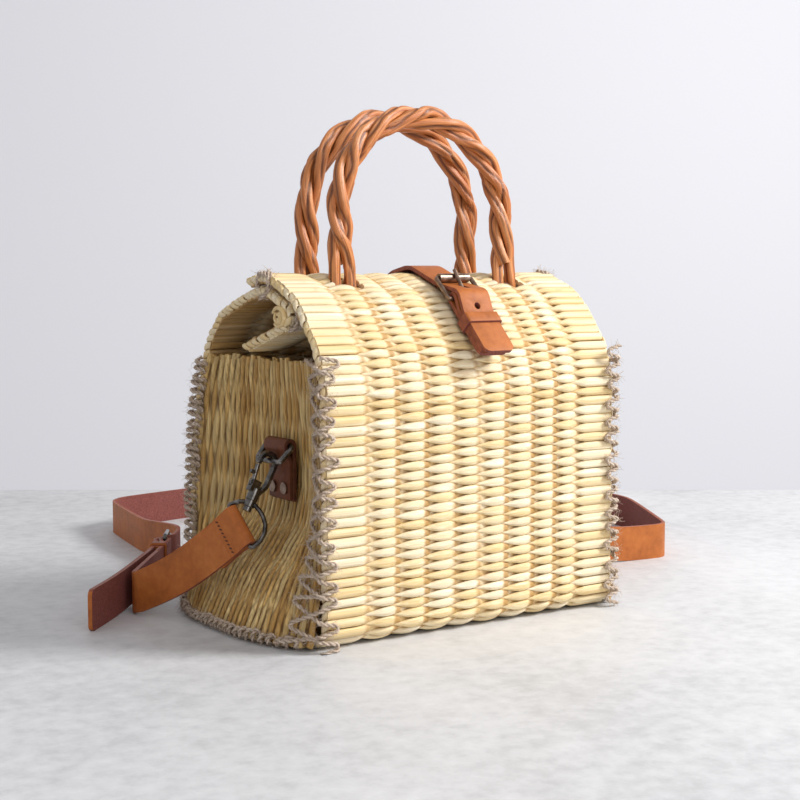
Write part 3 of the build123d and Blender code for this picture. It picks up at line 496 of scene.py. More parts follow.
# straight runs, one spline for each list of points; a point's radius is its fillet in millimetres
def polyCurve(name, lines, radii=None):
    curve = bpy.data.curves.new(name, "CURVE")
    curve.dimensions = "3D"
    for number, line in enumerate(lines):
        spline = curve.splines.new("POLY")
        spline.points.add(len(line) - 1)
        for index, point in enumerate(line):
            spline.points[index].co = (*point, 1.0)
            spline.points[index].radius = radii[number][index] if radii else 1.0
    return curve


def closedTubes(name, runs, graph, values):
    piece = bakeNodes(name, polyCurve(name + "Line", runs), graph, values)
    turnOutwards(piece.data)
    return piece


# Woven mat

# what a reed is like in the mat and in the side panels
reed = {
    "corners": 8,
    "fullness": 0.85,           # lower keeps a stroke wide for longer
    "groove": 0.30,             # what the middle of a reed lacks in thickness
    "tipStart": 0.955,          # the sine past which a stroke's end is shaded
    "plump": (0.92, 1.10),
    "skew": 0.004,              # radians
    "foldRadius": 0.62,         # of the turn at the mat's edge, before it is stretched
}
matReed = {
    "First Row": 0,
    "Last Row": 152,            # the front piece; the back piece has the rest
    "Seed": 7,
    "Pitch": 5.2 * mm,          # one over-reed and one under-reed
    "Edge": -100.0 * mm,
    "First Warp": 39.1 * mm,    # from the edge to the middle of the first short stroke
    "Spacing": 18.2 * mm,
    "Last Warp": 148.3 * mm,    # where the even spacing stops
    "Last Spacing": 14.5 * mm,
    "Rise": 1.5 * mm,
    "Thickness": 1.95 * mm,
    "Slim": 0.90,               # width between two warps, as a share of half the pitch
    "Swell": 1.10,              # what it gains at a warp
    "Lean": 0.40,               # how much wider a stroke is where it goes down than where it comes up
    "Wobble": 0.55 * mm,
    "Trim": 0.012,              # the share by which a reed may be short
    "Tip Shade": 30.0,
    "Half Width": 96.6 * mm,
    "Fold Place": 96.4 * mm,
}
warpThread = {"Count": 8, "Start": -70.0 * mm, "Spacing": 18.2 * mm, "Thread": 0.65 * mm}
handleSlot = {
    "shift": 1.3 * mm,          # from the handle's pivot towards the outside
    "halfDepth": 4.9 * mm,
    "halfHeight": 4.2 * mm,
    "legIn": 46.9 * mm,
    "legOut": 64.1 * mm,
}

# the mat seen from its end: ridge, front, floor, back, then under the ridge to the rolled hem
ridgeZ, shoulderZ, floorZ, wallY = 191.4, 153.0, 3.5, 72.2
flapDrop = 6.9
matRoute = [
    (4.0, ridgeZ - 3.6, 0.0), (-13.0, ridgeZ, 30.0), (-43.0, ridgeZ - 11.0, 45.0), (-66.0, shoulderZ, 22.0),
    (-wallY, 134.0, 30.0), (-wallY, floorZ, 9.0), (wallY, floorZ, 9.0), (wallY, 88.0, 60.0),
    (62.5, 128.0, 30.0), (51.0, 156.0, 20.0), (37.5, 169.5, 25.0), (4.0, ridgeZ - 3.6 - flapDrop, 40.0),
    (-13.0, ridgeZ - flapDrop - 0.2, 30.0), (-38.5, 174.2, 4.6), (-38.3, 166.8, 4.6), (5.5, 153.6, 0.0),
]


# a reed along X: it rises over one warp, dips under the next, and is widest there
def reedTube(graph, given, spans, phase):
    circle = graph.circle(reed["corners"], 1.0)
    tubes = []
    for start, end, steps in spans:
        line = graph.add("GeometryNodeCurvePrimitiveLine",
                         {"Start": graph.alongX(start), "End": graph.alongX(end)})
        tubes.append(graph.sweep(graph.resampled(line, steps), circle))
    x, y, z = graph.split(graph.position())
    first, spacing, last, lastSpacing = [given[key] for key in
                                         ("First Warp", "Spacing", "Last Warp", "Last Spacing")]
    fromEdge = x - given["Edge"]
    even = graph.atMost(graph.atLeast(fromEdge, first - spacing), last)
    late = graph.atMost(graph.atLeast(fromEdge, last), last + 2.0 * lastSpacing)
    angle = ((even - first) / spacing + (late - last) / lastSpacing + phase) * math.pi
    rise = graph.cosine(angle)
    swell = given["Swell"] * abs(rise) ** reed["fullness"]
    lean = given["Lean"] * graph.sine(angle)
    halfWidth = given["Pitch"] * 0.25 * (given["Slim"] + swell + lean)
    groove = 1.0 - reed["groove"] * ((1.0 - y * y) ** 4.0)
    shaped = graph.join(x, y * halfWidth, rise * given["Rise"] + z * groove * given["Thickness"])
    moved = graph.moved(graph.together(tubes), shaped)
    # painted shade where the reed dips under the next one and at the end of each stroke
    tip = graph.atLeast(graph.sine(angle) - reed["tipStart"], 0.0) * given["Tip Shade"]
    depth = graph.atLeast(-0.2 - rise, 0.0) + tip
    return graph.store(graph.store(moved, "reedDepth", depth), "reedSide", y)


# the turn of a reed round the mat's edge, from the upper layer to the lower one
def foldTube(graph, given, side):
    arc = graph.add("GeometryNodeCurveArc",
                    {"Resolution": 7, "Radius": 1.0, "Start Angle": -math.pi / 2, "Sweep Angle": math.pi})
    tube = graph.sweep(arc, graph.circle(reed["corners"], reed["foldRadius"]))
    x, y, z = graph.split(graph.position())
    outwards = x * given["Rise"] * side + given["Fold Place"] * side
    across = z * given["Pitch"] * 0.72 + (y - 1.0) * given["Pitch"] * 0.25
    return graph.moved(tube, graph.join(outwards, across, y * given["Rise"]))


# the shape on the chosen points, each a little different and with its own tone
def placed(graph, given, points, shape, chosen, turn, tag):
    seed = given["Seed"]
    plump = graph.random(*reed["plump"], seed + tag)
    length = graph.random(1.0 - given["Trim"], 1.0, seed + (tag + 30))
    skew = graph.random(-reed["skew"], reed["skew"], seed + (tag + 10))
    laid = graph.add("GeometryNodeInstanceOnPoints",
                     {"Points": points, "Selection": chosen, "Instance": shape,
                      "Rotation": graph.join(turn, 0.0, skew), "Scale": graph.join(length, plump, 1.0)})
    return graph.store(laid, "reedTone", graph.random(0.0, 1.0, seed + (tag + 20)), "INSTANCE")


# nothing goes under the ground
def aboveGround(graph, geometry, place, lowest):
    x, y, z = graph.split(place)
    return graph.moved(geometry, graph.join(x, y, graph.atLeast(z, lowest)))


# small unevenness of hand work, mostly across the reeds
def wobbled(graph, geometry, given, stretch):
    place = graph.position()
    drift = graph.noise(graph.vectors("MULTIPLY", place, stretch), 1.0, 1.0, output="Color")
    centred = graph.vectors("SUBTRACT", drift, (0.5, 0.5, 0.5))
    shifted = graph.vectors("ADD", graph.scaled(centred, given["Wobble"]), place)
    return aboveGround(graph, geometry, shifted, 0.2 * mm)


def matTree(slots):
    graph, given = newTree("wovenMat", matReed)
    line = graph.filleted(given["Geometry"], 10, graph.curveRadius() * mm)
    cast = graph.node("GeometryNodeCurveToPoints", {"Curve": line, "Length": given["Pitch"] * 0.5},
                      mode="LENGTH")
    points = Value(graph, cast.outputs["Points"])
    towardsY, towardsZ = graph.split(Value(graph, cast.outputs["Tangent"]))[1:]
    turn = graph.maths("ARCTAN2", -towardsZ, -towardsY)
    index = graph.add("GeometryNodeInputIndex")
    odd = graph.maths("MODULO", index, 2.0)
    wanted = (index > given["First Row"] - 0.5) * (index < given["Last Row"] - 0.5)
    y, z = graph.split(graph.position())[1:]
    inSlot = 0.0
    for slotY, slotZ in slots:
        near = (abs(y - slotY) < handleSlot["halfDepth"]) * (abs(z - slotZ) < handleSlot["halfHeight"])
        inSlot = near + inSlot
    half = given["Half Width"]
    legIn, legOut = handleSlot["legIn"], handleSlot["legOut"]
    whole = [(-half, half, 62)]
    parted = [(-half, -legOut, 14), (-legIn, legIn, 30), (legOut, half, 14)]
    laid = []
    for parity, phase in ((0, 1.0), (1, 0.0)):
        mine = wanted * (odd if parity else 1.0 - odd)
        for tag, (spans, chosen) in enumerate(((whole, mine * (1.0 - inSlot)), (parted, mine * inSlot))):
            tube = reedTube(graph, given, spans, phase)
            laid.append(placed(graph, given, points, tube, chosen, turn, 2 * parity + tag))
    for tag, side in ((5, -1.0), (6, 1.0)):
        fold = foldTube(graph, given, side)
        laid.append(placed(graph, given, points, fold, wanted * (1.0 - odd), turn, tag))
    solid = graph.realized(graph.together(laid))
    closeTree(graph, wobbled(graph, solid, given, (30.0, 170.0, 170.0)), straw)
    return graph


def warpTree():
    graph, given = newTree("warpThreads", warpThread)
    line = graph.filleted(given["Geometry"], 6, graph.curveRadius() * mm)
    row = graph.add("GeometryNodeMeshLine",
                    {"Count": given["Count"], "Start Location": graph.alongX(given["Start"]),
                     "Offset": graph.alongX(given["Spacing"])})
    laid = graph.add("GeometryNodeInstanceOnPoints",
                     {"Points": row, "Instance": graph.sweep(line, graph.circle(5, given["Thread"]))})
    closeTree(graph, laid, jute)
    return graph


def makeMat():
    route = [[(0.0, y * mm, z * mm) for y, z, radius in matRoute]]
    radii = [[radius for y, z, radius in matRoute]]
    slots = []
    for word, outwards in (("front", -1), ("back", 1)):
        pivot = joints[word + "_handle_lean"]["pos_m"]
        slots.append((pivot[1] + outwards * handleSlot["shift"], pivot[2]))
    graph = matTree(slots)
    middleRow, allRows = matReed["Last Row"], 1000
    pieces = []
    for name, first, last in (("matFront", 0, middleRow), ("matBack", middleRow, allRows)):
        values = {**matReed, "First Row": first, "Last Row": last}
        pieces.append(bakeNodes(name, polyCurve(name + "Line", route, radii), graph, values))
    warps = bakeNodes("warpThreads", polyCurve("warpLine", route, radii), warpTree(), warpThread)
    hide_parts("body_mat")
    for piece in pieces:
        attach(piece, "bag")
    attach(warps, "bag")
    print("mat woven")


# Side panels

panel = {
    "height": 148.0,
    "hem": 20.0,                # turned under at the foot
    "hemInner": 102.8 * mm,     # the turned part goes in no further
    "hemLevel": 3.2 * mm,
    # height, upright edge from the middle, bow of the middle, front edge, back edge
    "stations": [
        (0.0, 102.6, 16.5, -67.9, 67.9), (30.0, 98.0, 6.6, -67.9, 67.9), (48.0, 95.5, -4.2, -67.9, 67.9),
        (68.0, 95.0, -14.0, -67.9, 67.9), (106.0, 95.0, -14.0, -67.9, 63.5),
        (126.0, 95.0, -12.6, -67.0, 58.7), (148.0, 95.0, -10.5, -63.3, 50.0),
    ],
}
panelReed = {
    "Rows": 60,
    "Seed": 23,
    "Pitch": 4.5 * mm,
    "Edge": 0.0,
    "First Warp": 30.0 * mm,
    "Spacing": 18.2 * mm,
    "Last Warp": 121.0 * mm,
    "Last Spacing": 18.2 * mm,
    "Rise": 0.55 * mm,
    "Thickness": 1.6 * mm,
    "Slim": 0.93,
    "Swell": 0.18,
    "Lean": 0.10,
    "Wobble": 1.8 * mm,
    "Trim": 0.022,
    "Tip Shade": 0.0,
}


def panelTree(side):
    graph, given = newTree("wovenPanel", panelReed)
    count = given["Rows"]
    line = graph.add("GeometryNodeMeshLine",
                     {"Count": count, "Offset": graph.join(0.0, given["Pitch"] * 0.5, 0.0)})
    odd = graph.maths("MODULO", graph.add("GeometryNodeInputIndex"), 2.0)
    laid = []
    for parity, phase in ((0, 1.0), (1, 0.0)):
        tube = reedTube(graph, given, [(-panel["hem"] * mm, panel["height"] * mm, 60)], phase)
        laid.append(placed(graph, given, line, tube, odd if parity else 1.0 - odd, 0.0, parity))
    solid = graph.realized(graph.together(laid))
    # s runs up the stems, t from the front to the back, n through the panel
    s, t, n = graph.split(graph.position())
    height = graph.atLeast(s, 0.0)
    share = height / (panel["height"] * mm)
    tops = {}
    for key, column, low, high in (("edge", 1, 90.0, 110.0), ("bow", 2, -20.0, 20.0),
                                   ("front", 3, -80.0, -60.0), ("back", 4, 40.0, 80.0)):
        points = [(row[0] / panel["height"], (row[column] - low) / (high - low))
                  for row in panel["stations"]]
        level = graph.add("ShaderNodeFloatCurve", {"Value": share}, curve=points)
        tops[key] = (level * (high - low) + low) * mm
    across = t / (given["Pitch"] * 0.5 * (count - 1.0))
    arch = 1.0 - abs(across * 2.0 - 1.0) ** 3.0
    tucked = graph.atLeast(-s, 0.0)
    reach = tops["edge"] + tops["bow"] * arch
    reach = graph.atLeast(reach - tucked, graph.atMost(reach, panel["hemInner"]))
    flat = s < 0.0
    upright = 1.0 - flat
    outward = reach + n * upright
    rise = height * upright + flat * (panel["hemLevel"] - n)
    depth = tops["front"] + across * (tops["back"] - tops["front"])
    bent = graph.moved(solid, graph.join(outward * float(side), depth, rise))
    closeTree(graph, wobbled(graph, bent, given, (170.0, 170.0, 30.0)), sideReed)
    return graph


def makePanels():
    for side, word in bothSides:
        base = bpy.data.meshes.new(word + "PanelBase")
        values = {**panelReed, "Seed": panelReed["Seed"] + side}
        piece = bakeNodes(word + "SidePanel", base, panelTree(side), values)
        turnOutwards(piece.data)
        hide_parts(word + "_side_panel")
        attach(piece, "bag")
    print("side panels woven")


def panelLevel(z, column):
    rows = panel["stations"]
    z = min(max(z, rows[0][0]), rows[-1][0])
    low, high = next(pair for pair in zip(rows, rows[1:]) if z <= pair[1][0])
    share = (z - low[0]) / (high[0] - low[0])
    return low[column] + share * (high[column] - low[column])


# from the bag's middle to the side panel's middle layer
def panelReach(y, z):
    front, back = panelLevel(z, 3), panelLevel(z, 4)
    across = min(1.0, max(0.0, (y - front) / (back - front)))
    return panelLevel(z, 1) + panelLevel(z, 2) * (1.0 - abs(2.0 * across - 1.0) ** 3)


# Rope handles

rope = {
    "archRadius": 55.5,
    "top": 280.5,
    "turns": 10 / 3,
    "ringRadius": 3.6,          # of the strands' middle lines
    "strandRadius": 3.4,
    "footSpread": 9.6,          # between the two branches at a foot
    "branchStart": 3.0,
    "branchHeight": 26.0,
    "belowPivot": 7.5,
    "tuckedHeight": 11.0,       # where a strand that stays above the mat starts
    "steps": 90,
    "leans": (("front", -5.0, 0.0), ("back", 0.0, 0.7)),    # degrees at rest, and a shift of the splits
    "strandPhase": 1.3,
}


def smoothStep(value):
    value = min(1.0, max(0.0, value))
    return value * value * (3.0 - 2.0 * value)


# middle line of one strand; strands 0 and 1 go through the mat at the left, 1 and 2 at the right
def strandPoints(strand, leg):
    radius = rope["archRadius"]
    arc = math.pi * radius
    total = 2 * leg + arc
    atLeft, atRight = strand in (0, 1), strand in (1, 2)
    start = -rope["belowPivot"] if atLeft else rope["tuckedHeight"]
    end = total + rope["belowPivot"] if atRight else total - rope["tuckedHeight"]
    points = []
    for step in range(rope["steps"] + 1):
        travelled = start + (end - start) * step / rope["steps"]
        if travelled < leg:
            centre, outward = Vector((-radius, 0, travelled)), Vector((-1, 0, 0))
        elif travelled > leg + arc:
            centre, outward = Vector((radius, 0, total - travelled)), Vector((1, 0, 0))
        else:
            angle = (travelled - leg) / radius
            outward = Vector((-math.cos(angle), 0, math.sin(angle)))
            centre = Vector((0, 0, leg)) + outward * radius
        phase = math.pi + 2 * math.pi * (rope["turns"] * travelled / total + strand / 3)
        twisted = outward * math.cos(phase) + Vector((0, math.sin(phase), 0))
        share = 1.0
        for parts, walked in ((atLeft, travelled), (atRight, total - travelled)):
            if parts:
                share *= smoothStep((walked - rope["branchStart"]) / rope["branchHeight"])
        if travelled < total / 2:
            branch = 1 if strand == 0 else -1
        else:
            branch = -1 if strand == 2 else 1
        apart = Vector((branch * rope["footSpread"] / 2, 0, 0)) * (1 - share)
        points.append(centre + twisted * rope["ringRadius"] * share + apart)
    return points


# a bundle of flat splits with creases between them, twisted a little
def strandTree():
    graph, given = newTree("willowStrand", {"Radius": 3.4 * mm, "Phase": 0.0})
    phase = given["Phase"]
    line = graph.resampled(given["Geometry"], 190)
    line = graph.store(line, "along", graph.add("GeometryNodeSplineParameter", output="Length"))
    circle = graph.circle(26, given["Radius"])
    circle = graph.store(circle, "around", graph.add("GeometryNodeSplineParameter") * (2 * math.pi))
    tube = graph.sweep(line, circle)
    along, around = graph.named("along"), graph.named("around")
    drift = graph.noise(graph.join(along * 38.0, phase, 0.0), 1.0, 1.0)
    split = graph.cosine((around + drift * 5.0 + along * 26.0 + phase) * 3.0)
    second = graph.cosine(around * 7.0 - drift * 9.0 + phase)
    crease = graph.atLeast(0.0 - split, 0.0) ** 3.0 + 0.45 * graph.atLeast(second, 0.0) ** 6.0
    swell = graph.noise(graph.join(along * 110.0, phase, 1.0), 1.0, 1.0) - 0.5
    fibrePlace = graph.join(along * 60.0, graph.cosine(around) * 2.4 + phase, graph.sine(around) * 2.4)
    fibres = graph.noise(fibrePlace, 1.0, 2.0) - 0.5
    offset = given["Radius"] * (0.05 * split - 0.26 * crease + 0.14 * swell + 0.34 * fibres)
    push = graph.scaled(graph.add("GeometryNodeInputNormal"), offset)
    bent = graph.add("GeometryNodeSetPosition", {"Geometry": tube, "Offset": push})
    # the creases are kept for the material's painted shade
    closeTree(graph, graph.store(bent, "crease", crease), willow)
    return graph


def makeHandles():
    graph = strandTree()
    for word, lean, shift in rope["leans"]:
        pivot = Vector(joints[word + "_handle_lean"]["pos_m"])
        leg = rope["top"] - rope["archRadius"] - pivot.z / mm
        turn = Matrix.Rotation(math.radians(lean), 3, "X")
        for strand in range(3):
            points = [pivot + turn @ (point * mm) for point in strandPoints(strand, leg)]
            name = f"{word}HandleStrand{strand + 1}"
            values = {"Radius": rope["strandRadius"] * mm, "Phase": rope["strandPhase"] * strand + shift}
            piece = closedTubes(name, [points], graph, values)
            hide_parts(f"{word}_handle_strand_{strand + 1}")
            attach(piece, word + "_handle")
    print("handles laid")


# Leather

leather = {
    "bevel": 0.45 * mm,
    "sharp": 0.9,                               # an edge that turns by more is a cut edge
    "facing": 0.75,                             # a face whose normal is this straight is a cut side
    "loopMiddle": (60.0 * mm, 150.0 * mm),      # of the strap's way round behind the bag
}


# each gives the shares of painted edge and of flesh side that a face has
def strapSides(centre, normal):
    away = Vector((centre.x - leather["loopMiddle"][0], centre.y - leather["loopMiddle"][1], 0.0))
    return float(abs(normal.z) > leather["facing"]), float(normal.dot(away) < 0.0)


def closingSides(centre, normal):
    return float(abs(normal.x) > leather["facing"]), float(normal.z < -0.1)


def tabSides(centre, normal):
    return float(abs(normal.x) < 0.35), 0.0


# the same band with its bends made smooth
def evenedOut(name, mesh):
    carrier = finished(name + "Source", mesh)
    carrier.modifiers.new("even", "SUBSURF").levels = 2
    return plainMesh(name, carrier)


# the piece's own solid, with its cut edges rounded
def softLeather(name, nodeName, sides, material=tanLeather, supple=False):
    shell = bmesh.new()
    shell.from_mesh(nodes[nodeName].data)
    bmesh.ops.remove_doubles(shell, verts=shell.verts, dist=1e-6)
    if supple:
        bmesh.ops.join_triangles(shell, faces=shell.faces, angle_face_threshold=0.03,
                                 angle_shape_threshold=3.1)
    else:
        bmesh.ops.dissolve_limit(shell, angle_limit=0.02, verts=shell.verts, edges=shell.edges)
    cut = [edge for edge in shell.edges
           if len(edge.link_faces) == 2 and edge.calc_face_angle() > leather["sharp"]]
    bmesh.ops.bevel(shell, geom=cut, offset=leather["bevel"], segments=2, profile=0.5, affect="EDGES",
                    clamp_overlap=True)
    bmesh.ops.recalc_face_normals(shell, faces=shell.faces)
    mesh = bpy.data.meshes.new(name)
    shell.to_mesh(mesh)
    shell.free()
    if supple:
        mesh = evenedOut(name, mesh)
    marks = [sides(polygon.center, polygon.normal) for polygon in mesh.polygons]
    for column, key in enumerate(("edge", "flesh")):
        layer = mesh.attributes.new(key, "FLOAT", "FACE")
        layer.data.foreach_set("value", [mark[column] for mark in marks])
    for polygon in mesh.polygons:
        polygon.use_smooth = True
    mesh.set_sharp_from_angle(angle=leather["sharp"])
    mesh.materials.append(material)
    piece = finished(name, mesh)
    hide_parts(nodeName)
    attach(piece, "bag")


def makeLeather():
    softLeather("crossbodyStrapLong", "strap_long", strapSides, supple=True)
    softLeather("crossbodyStrapShort", "strap_short", strapSides, supple=True)
    softLeather("adjusterKeeper", "adjuster_keeper", strapSides)
    softLeather("closingTongue", "closure_tongue_strap", closingSides)
    softLeather("closingBuckleStrap", "closure_buckle_strap", closingSides)
    softLeather("closingKeeper", "closure_keeper", closingSides)
    # the side tabs take the darker copy of the tan leather, as painted shade
    for word in ("left", "right"):
        softLeather(word + "Tab", word + "_side_tab", tabSides, shadedTanLeather)
    makeStitches()
    print("leather cut")


# short tubes, thickest halfway along
def taperTree(name, material, count, inputs):
    graph, given = newTree(name, inputs)
    line = graph.resampled(given["Geometry"], count)
    walked = graph.add("GeometryNodeSplineParameter")
    fullness = given["Ends"] + (1.0 - given["Ends"]) * 4.0 * walked * (1.0 - walked)
    closeTree(graph, graph.sweep(line, graph.circle(6, given["Thick"]), fullness), material)
    return graph


hem = {
    "seed": 17,
    "end": 98.6,                # from the bag's middle to the outermost layer
    "layers": 3,
    "layerStep": 2.3,
    "middle": (-31.0, 170.3),
    "flatness": 0.8,
    "bends": ((6.3, 0.4, 5.0), (3.9, 2.0, 5.2), (1.6, 0.9, 4.6)),   # radius, first angle, sweep
    "steps": 12,
}
hemReed = {"Thick": 1.35 * mm, "Ends": 0.6}


# reed ends folded round one another inside the rolled hem, seen end-on
def makeHemEnds():
    graph = taperTree("hemEnds", straw, 22, hemReed)
    middleY, middleZ = hem["middle"]
    for side, word in bothSides:
        dice = random.Random(hem["seed"] + side)
        runs = []
        for radius, first, sweep in hem["bends"]:
            for layer in range(hem["layers"]):
                reach = radius + dice.uniform(-0.5, 0.5)
                run = []
                for step in range(hem["steps"]):
                    angle = first + sweep * step / (hem["steps"] - 1) + dice.uniform(-0.05, 0.05)
                    run.append(Vector((side * (hem["end"] - hem["layerStep"] * layer),
                                       middleY + reach * math.cos(angle),
                                       middleZ + hem["flatness"] * reach * math.sin(angle))) * mm)
                runs.append(run)
        piece = closedTubes(word + "HemEnd", runs, graph, hemReed)
        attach(piece, "bag")


stitch = {
    "foldStart": Vector((-120.31, -8.79, 51.55)),
    "along": Vector((-0.236, 0.752, -0.616)),       # the strap's own directions there
    "across": Vector((-0.185, 0.587, 0.788)),
    "outward": Vector((-0.954, -0.300, 0.0)),
    "fromFold": 2.5,
    "proud": 1.42,
    "pitch": 2.35,
    "halfReach": 0.75,
    "sunk": 0.25,               # how far the ends of a stitch lie deeper than its middle
}
stitchThread = {"Thick": 0.42 * mm, "Ends": 0.35}


# one slanted row over the fold that holds each swivel's ring
def makeStitches():
    graph = taperTree("stitches", thread, 6, stitchThread)
    along, across, outward = stitch["along"], stitch["across"], stitch["outward"]
    firstLine = stitch["foldStart"] - along * stitch["fromFold"] + outward * stitch["proud"]
    reach = along * stitch["halfReach"] + across * stitch["halfReach"]
    sunk = outward * stitch["sunk"]
    for side, word in bothSides:
        runs = []
        for count in range(-4, 5):
            middle = firstLine + across * (stitch["pitch"] * count)
            run = (middle - reach - sunk, middle, middle + reach - sunk)
            runs.append([Vector((-side * point.x, point.y, point.z)) * mm for point in run])
        piece = closedTubes(word + "Stitches", runs, graph, stitchThread)
        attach(piece, "bag")


# Jute lacing

cord = {"Cord": 0.78 * mm, "Twist": 800.0, "Hairs": 260000.0, "Hair": 4.6 * mm, "Seed": 3}
lacingSeed = 41


# two-ply cord along the runs, with loose hairs standing off it
def juteTree():
    graph, given = newTree("juteCord", cord)
    line = graph.filleted(given["Geometry"], 3, 1.6 * mm)
    line = graph.add("GeometryNodeResampleCurve", {"Curve": line, "Length": 1.1 * mm}, mode="LENGTH")
    length = graph.add("GeometryNodeSplineParameter", output="Length")
    line = graph.add("GeometryNodeSetCurveTilt", {"Curve": line, "Tilt": length * given["Twist"]})
    circle = graph.circle(6, given["Cord"])
    plies = [graph.add("GeometryNodeTransform",
                       {"Geometry": circle, "Translation": graph.alongX(given["Cord"] * side)})
             for side in (-0.75, 0.75)]
    twisted = graph.sweep(line, graph.together(plies))
    spread = graph.node("GeometryNodeDistributePointsOnFaces",
                        {"Mesh": twisted, "Density": given["Hairs"], "Seed": given["Seed"]},
                        distribute_method="RANDOM")
    hairLine = graph.add("GeometryNodeCurveQuadraticBezier",
                         {"Resolution": 4, "Start": (0.0, 0.0, 0.0), "Middle": (0.0, 0.0, 0.6),
                          "End": (0.5, 0.0, 0.9)})
    hair = graph.sweep(hairLine, graph.circle(3, 0.018))
    size = graph.random(0.25, 1.0, given["Seed"] + 5) * given["Hair"]
    tilt = [graph.random(-1.2, 1.2, given["Seed"] + number) for number in (6, 7)]
    spin = graph.join(*tilt, graph.random(0.0, 6.28, given["Seed"] + 8))
    turned = graph.add("FunctionNodeRotateRotation",
                       {0: Value(graph, spread.outputs["Rotation"]), 1: spin}, rotation_space="LOCAL")
    fuzz = graph.add("GeometryNodeInstanceOnPoints",
                     {"Points": Value(graph, spread.outputs["Points"]), "Instance": hair,
                      "Rotation": turned, "Scale": graph.join(size, size, size)})
    solid = graph.realized(graph.together([twisted, fuzz]))
    closeTree(graph, aboveGround(graph, solid, graph.position(), 0.3 * mm), jute)
    return graph


# places are in millimetres: outwards from the bag's middle, towards the back, and up
corner = {
    "crossings": 15,
    "foot": 4.0,
    "pitch": 10.4,
    "uneven": 2.0,
    "overEnd": ((100.7, -76.4, -3.6), (100.9, -76.2, 3.2)),     # either side of the hole in the mat
    "hole": (86.5, -77.0),
    "panelRow": -55.0,
    "panelLift": 4.6,
    "spread": 3.0,
}


# two cords that cross one another up the front corner, over the mat's end and into the panel
def cornerLacing(side, dice):
    (lowX, lowY, lowZ), (highX, highY, highZ) = corner["overEnd"]
    holeX, holeY = corner["hole"]
    cords = []
    for start in (0, 1):
        points = []
        for step in range(corner["crossings"]):
            z = corner["foot"] + step * corner["pitch"] + dice.uniform(-corner["uneven"], corner["uneven"])
            shift = dice.uniform(-corner["spread"], corner["spread"])
            if (step + start) % 2:
                points += [(side * lowX, lowY, z + lowZ), (side * (holeX + shift), holeY, z),
                           (side * highX, highY, z + highZ)]
            else:
                y = corner["panelRow"] + shift
                points += [(side * (panelReach(y, z) + corner["panelLift"]), y, z)]
        cords.append(points)
    return cords


overcast = {
    "edgeTurns": 31,
    "edgeFoot": 4.0,
    "edgePitch": 4.6,
    "matEnd": 100.9,
    "footTurns": 25,
    "footFront": -64.0,
    "footPitch": 5.3,
}


# one cord round and round the back corner
def edgeOvercast(side, dice):
    points = []
    for step in range(overcast["edgeTurns"]):
        z = overcast["edgeFoot"] + step * overcast["edgePitch"]
        y = panelLevel(z, 4)
        onPanel = side * (panelReach(y - 6, z) + 4.8)
        points.append((onPanel, y - 5.5 + dice.uniform(-1.5, 1.5), z + dice.uniform(-1, 1)))
        overEnd = side * (overcast["matEnd"] + dice.uniform(0, 0.7))
        points.append((overEnd, y + 7.2, z + 1.6 + dice.uniform(-1.5, 1.5)))
        points.append((side * 96.0, y + 8.9, z + 2.6))
    return [points]


# one cord round and round the panel's foot
def footOvercast(side, dice):
    points = []
    for step in range(overcast["footTurns"]):
        y = overcast["footFront"] + step * overcast["footPitch"]
        reach = panelReach(y, 2.0)
        points.append((side * (reach + 2.8), y, 7.5 + dice.uniform(-1.5, 2.5)))
        points.append((side * (reach + 3.6), y + 1.6, 2.2))
        points.append((side * (reach - 4.0), y + 3.0, 1.0))
    return [points]


# middle of the roll, reach of the cord, where it starts from the bag's middle
ties = {
    "places": (((-38.5, 170.4), 7.4, 90.0), ((-13.0, 187.0), 7.6, 93.0)),
    "steps": 15,
    "turn": 1.25,
    "advance": 0.4,
}


# cord wound round the ends of the rolled hem and of the lifted back flap
def hemTies(side, dice):
    cords = []
    for middle, reach, first in ties["places"]:
        points = []
        for step in range(ties["steps"]):
            angle = step * ties["turn"] + dice.uniform(-0.2, 0.2)
            points.append((side * (first + ties["advance"] * step), middle[0] + reach * math.cos(angle),
                           middle[1] + reach * math.sin(angle)))
        cords.append(points)
    return cords


def makeLacing():
    graph = juteTree()
    for side, word in bothSides:
        dice = random.Random(lacingSeed + side)
        for label, maker in (("CornerLacing", cornerLacing), ("EdgeOvercast", edgeOvercast),
                             ("FootOvercast", footOvercast), ("HemTies", hemTies)):
            runs = [[Vector(point) * mm for point in run] for run in maker(side, dice)]
            piece = closedTubes(word + label, runs, graph, cord)
            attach(piece, "bag")
    print("jute laced")


# Metal

def dressMetal():
    for name, node in nodes.items():
        warm = name.startswith("closure_") or name.endswith("rivets")
        node.data.materials.clear()
        node.data.materials.append(bronze if warm else darkSteel)
    print("metal dressed")


# Ground, wall and light

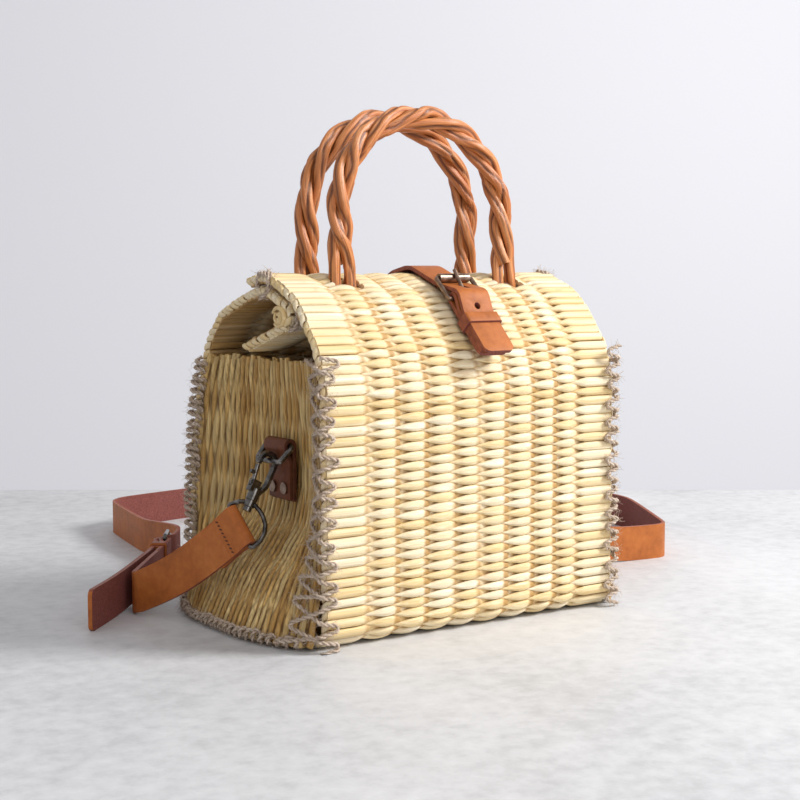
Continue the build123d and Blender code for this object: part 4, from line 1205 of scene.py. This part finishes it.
stage = {
    "floorEdge": 1.342,         # along the view, where the table ends
    "floorNear": -0.9,
    "floorHalf": 2.2,
    "wallBehind": 0.9,          # from the table's end
    "wallHalf": 2.6,
    "wallFoot": -1.2,
    "wallTop": 1.8,
    "wallColour": (0.85, 0.85, 0.88),
    "roomStrength": 0.62,
    "lampTarget": (0.0, 0.0, 0.1),
    # name, place, size, power
    "lamps": (("key", (0.95, -0.80, 1.00), 0.55, 27.0), ("fill", (-0.2, -1.6, 0.7), 1.0, 5.0)),
}


def stageSheet(name, corners, material):
    mesh = bpy.data.meshes.new(name)
    mesh.from_pydata([corner[:] for corner in corners], [], [(0, 1, 2, 3)])
    mesh.materials.append(material)
    return finished(name, mesh)


def makeStage():
    yaw = math.radians(view["yaw"])
    ahead = Vector((math.sin(yaw), math.cos(yaw), 0.0))
    aside = Vector((math.cos(yaw), -math.sin(yaw), 0.0))
    eye = Vector((view["place"][0], view["place"][1], 0.0))
    far, near, half = stage["floorEdge"], stage["floorNear"], stage["floorHalf"]
    floor = stageSheet("floor", [eye + ahead * depth + aside * width for depth, width in
                                 ((near, -half), (near, half), (far, half), (far, -half))],
                       floorMaterial(floorLook))
    base = eye + ahead * (far + stage["wallBehind"])
    foot, top = Vector((0.0, 0.0, stage["wallFoot"])), Vector((0.0, 0.0, stage["wallTop"]))
    wallHalf, colour = aside * stage["wallHalf"], (*stage["wallColour"], 1.0)
    wall = stageSheet("backdrop", [base - wallHalf + foot, base + wallHalf + foot,
                                   base + wallHalf + top, base - wallHalf + top],
                      newMaterial("paleWall", Roughness=0.9, Base_Color=colour)[0])
    world = bpy.data.worlds.new("room")
    world.use_nodes = True
    room = next(node for node in world.node_tree.nodes if node.type == "BACKGROUND")
    room.inputs["Color"].default_value = colour
    room.inputs["Strength"].default_value = stage["roomStrength"]
    bpy.context.scene.world = world
    for name, place, size, power in stage["lamps"]:
        areaLamp(name, place, stage["lampTarget"], size, power)
    bpy.context.scene.view_settings.view_transform = "Standard"


makeCamera()
makeMat()
makePanels()
makeHandles()
makeLeather()
makeHemEnds()
makeLacing()
dressMetal()
makeStage()
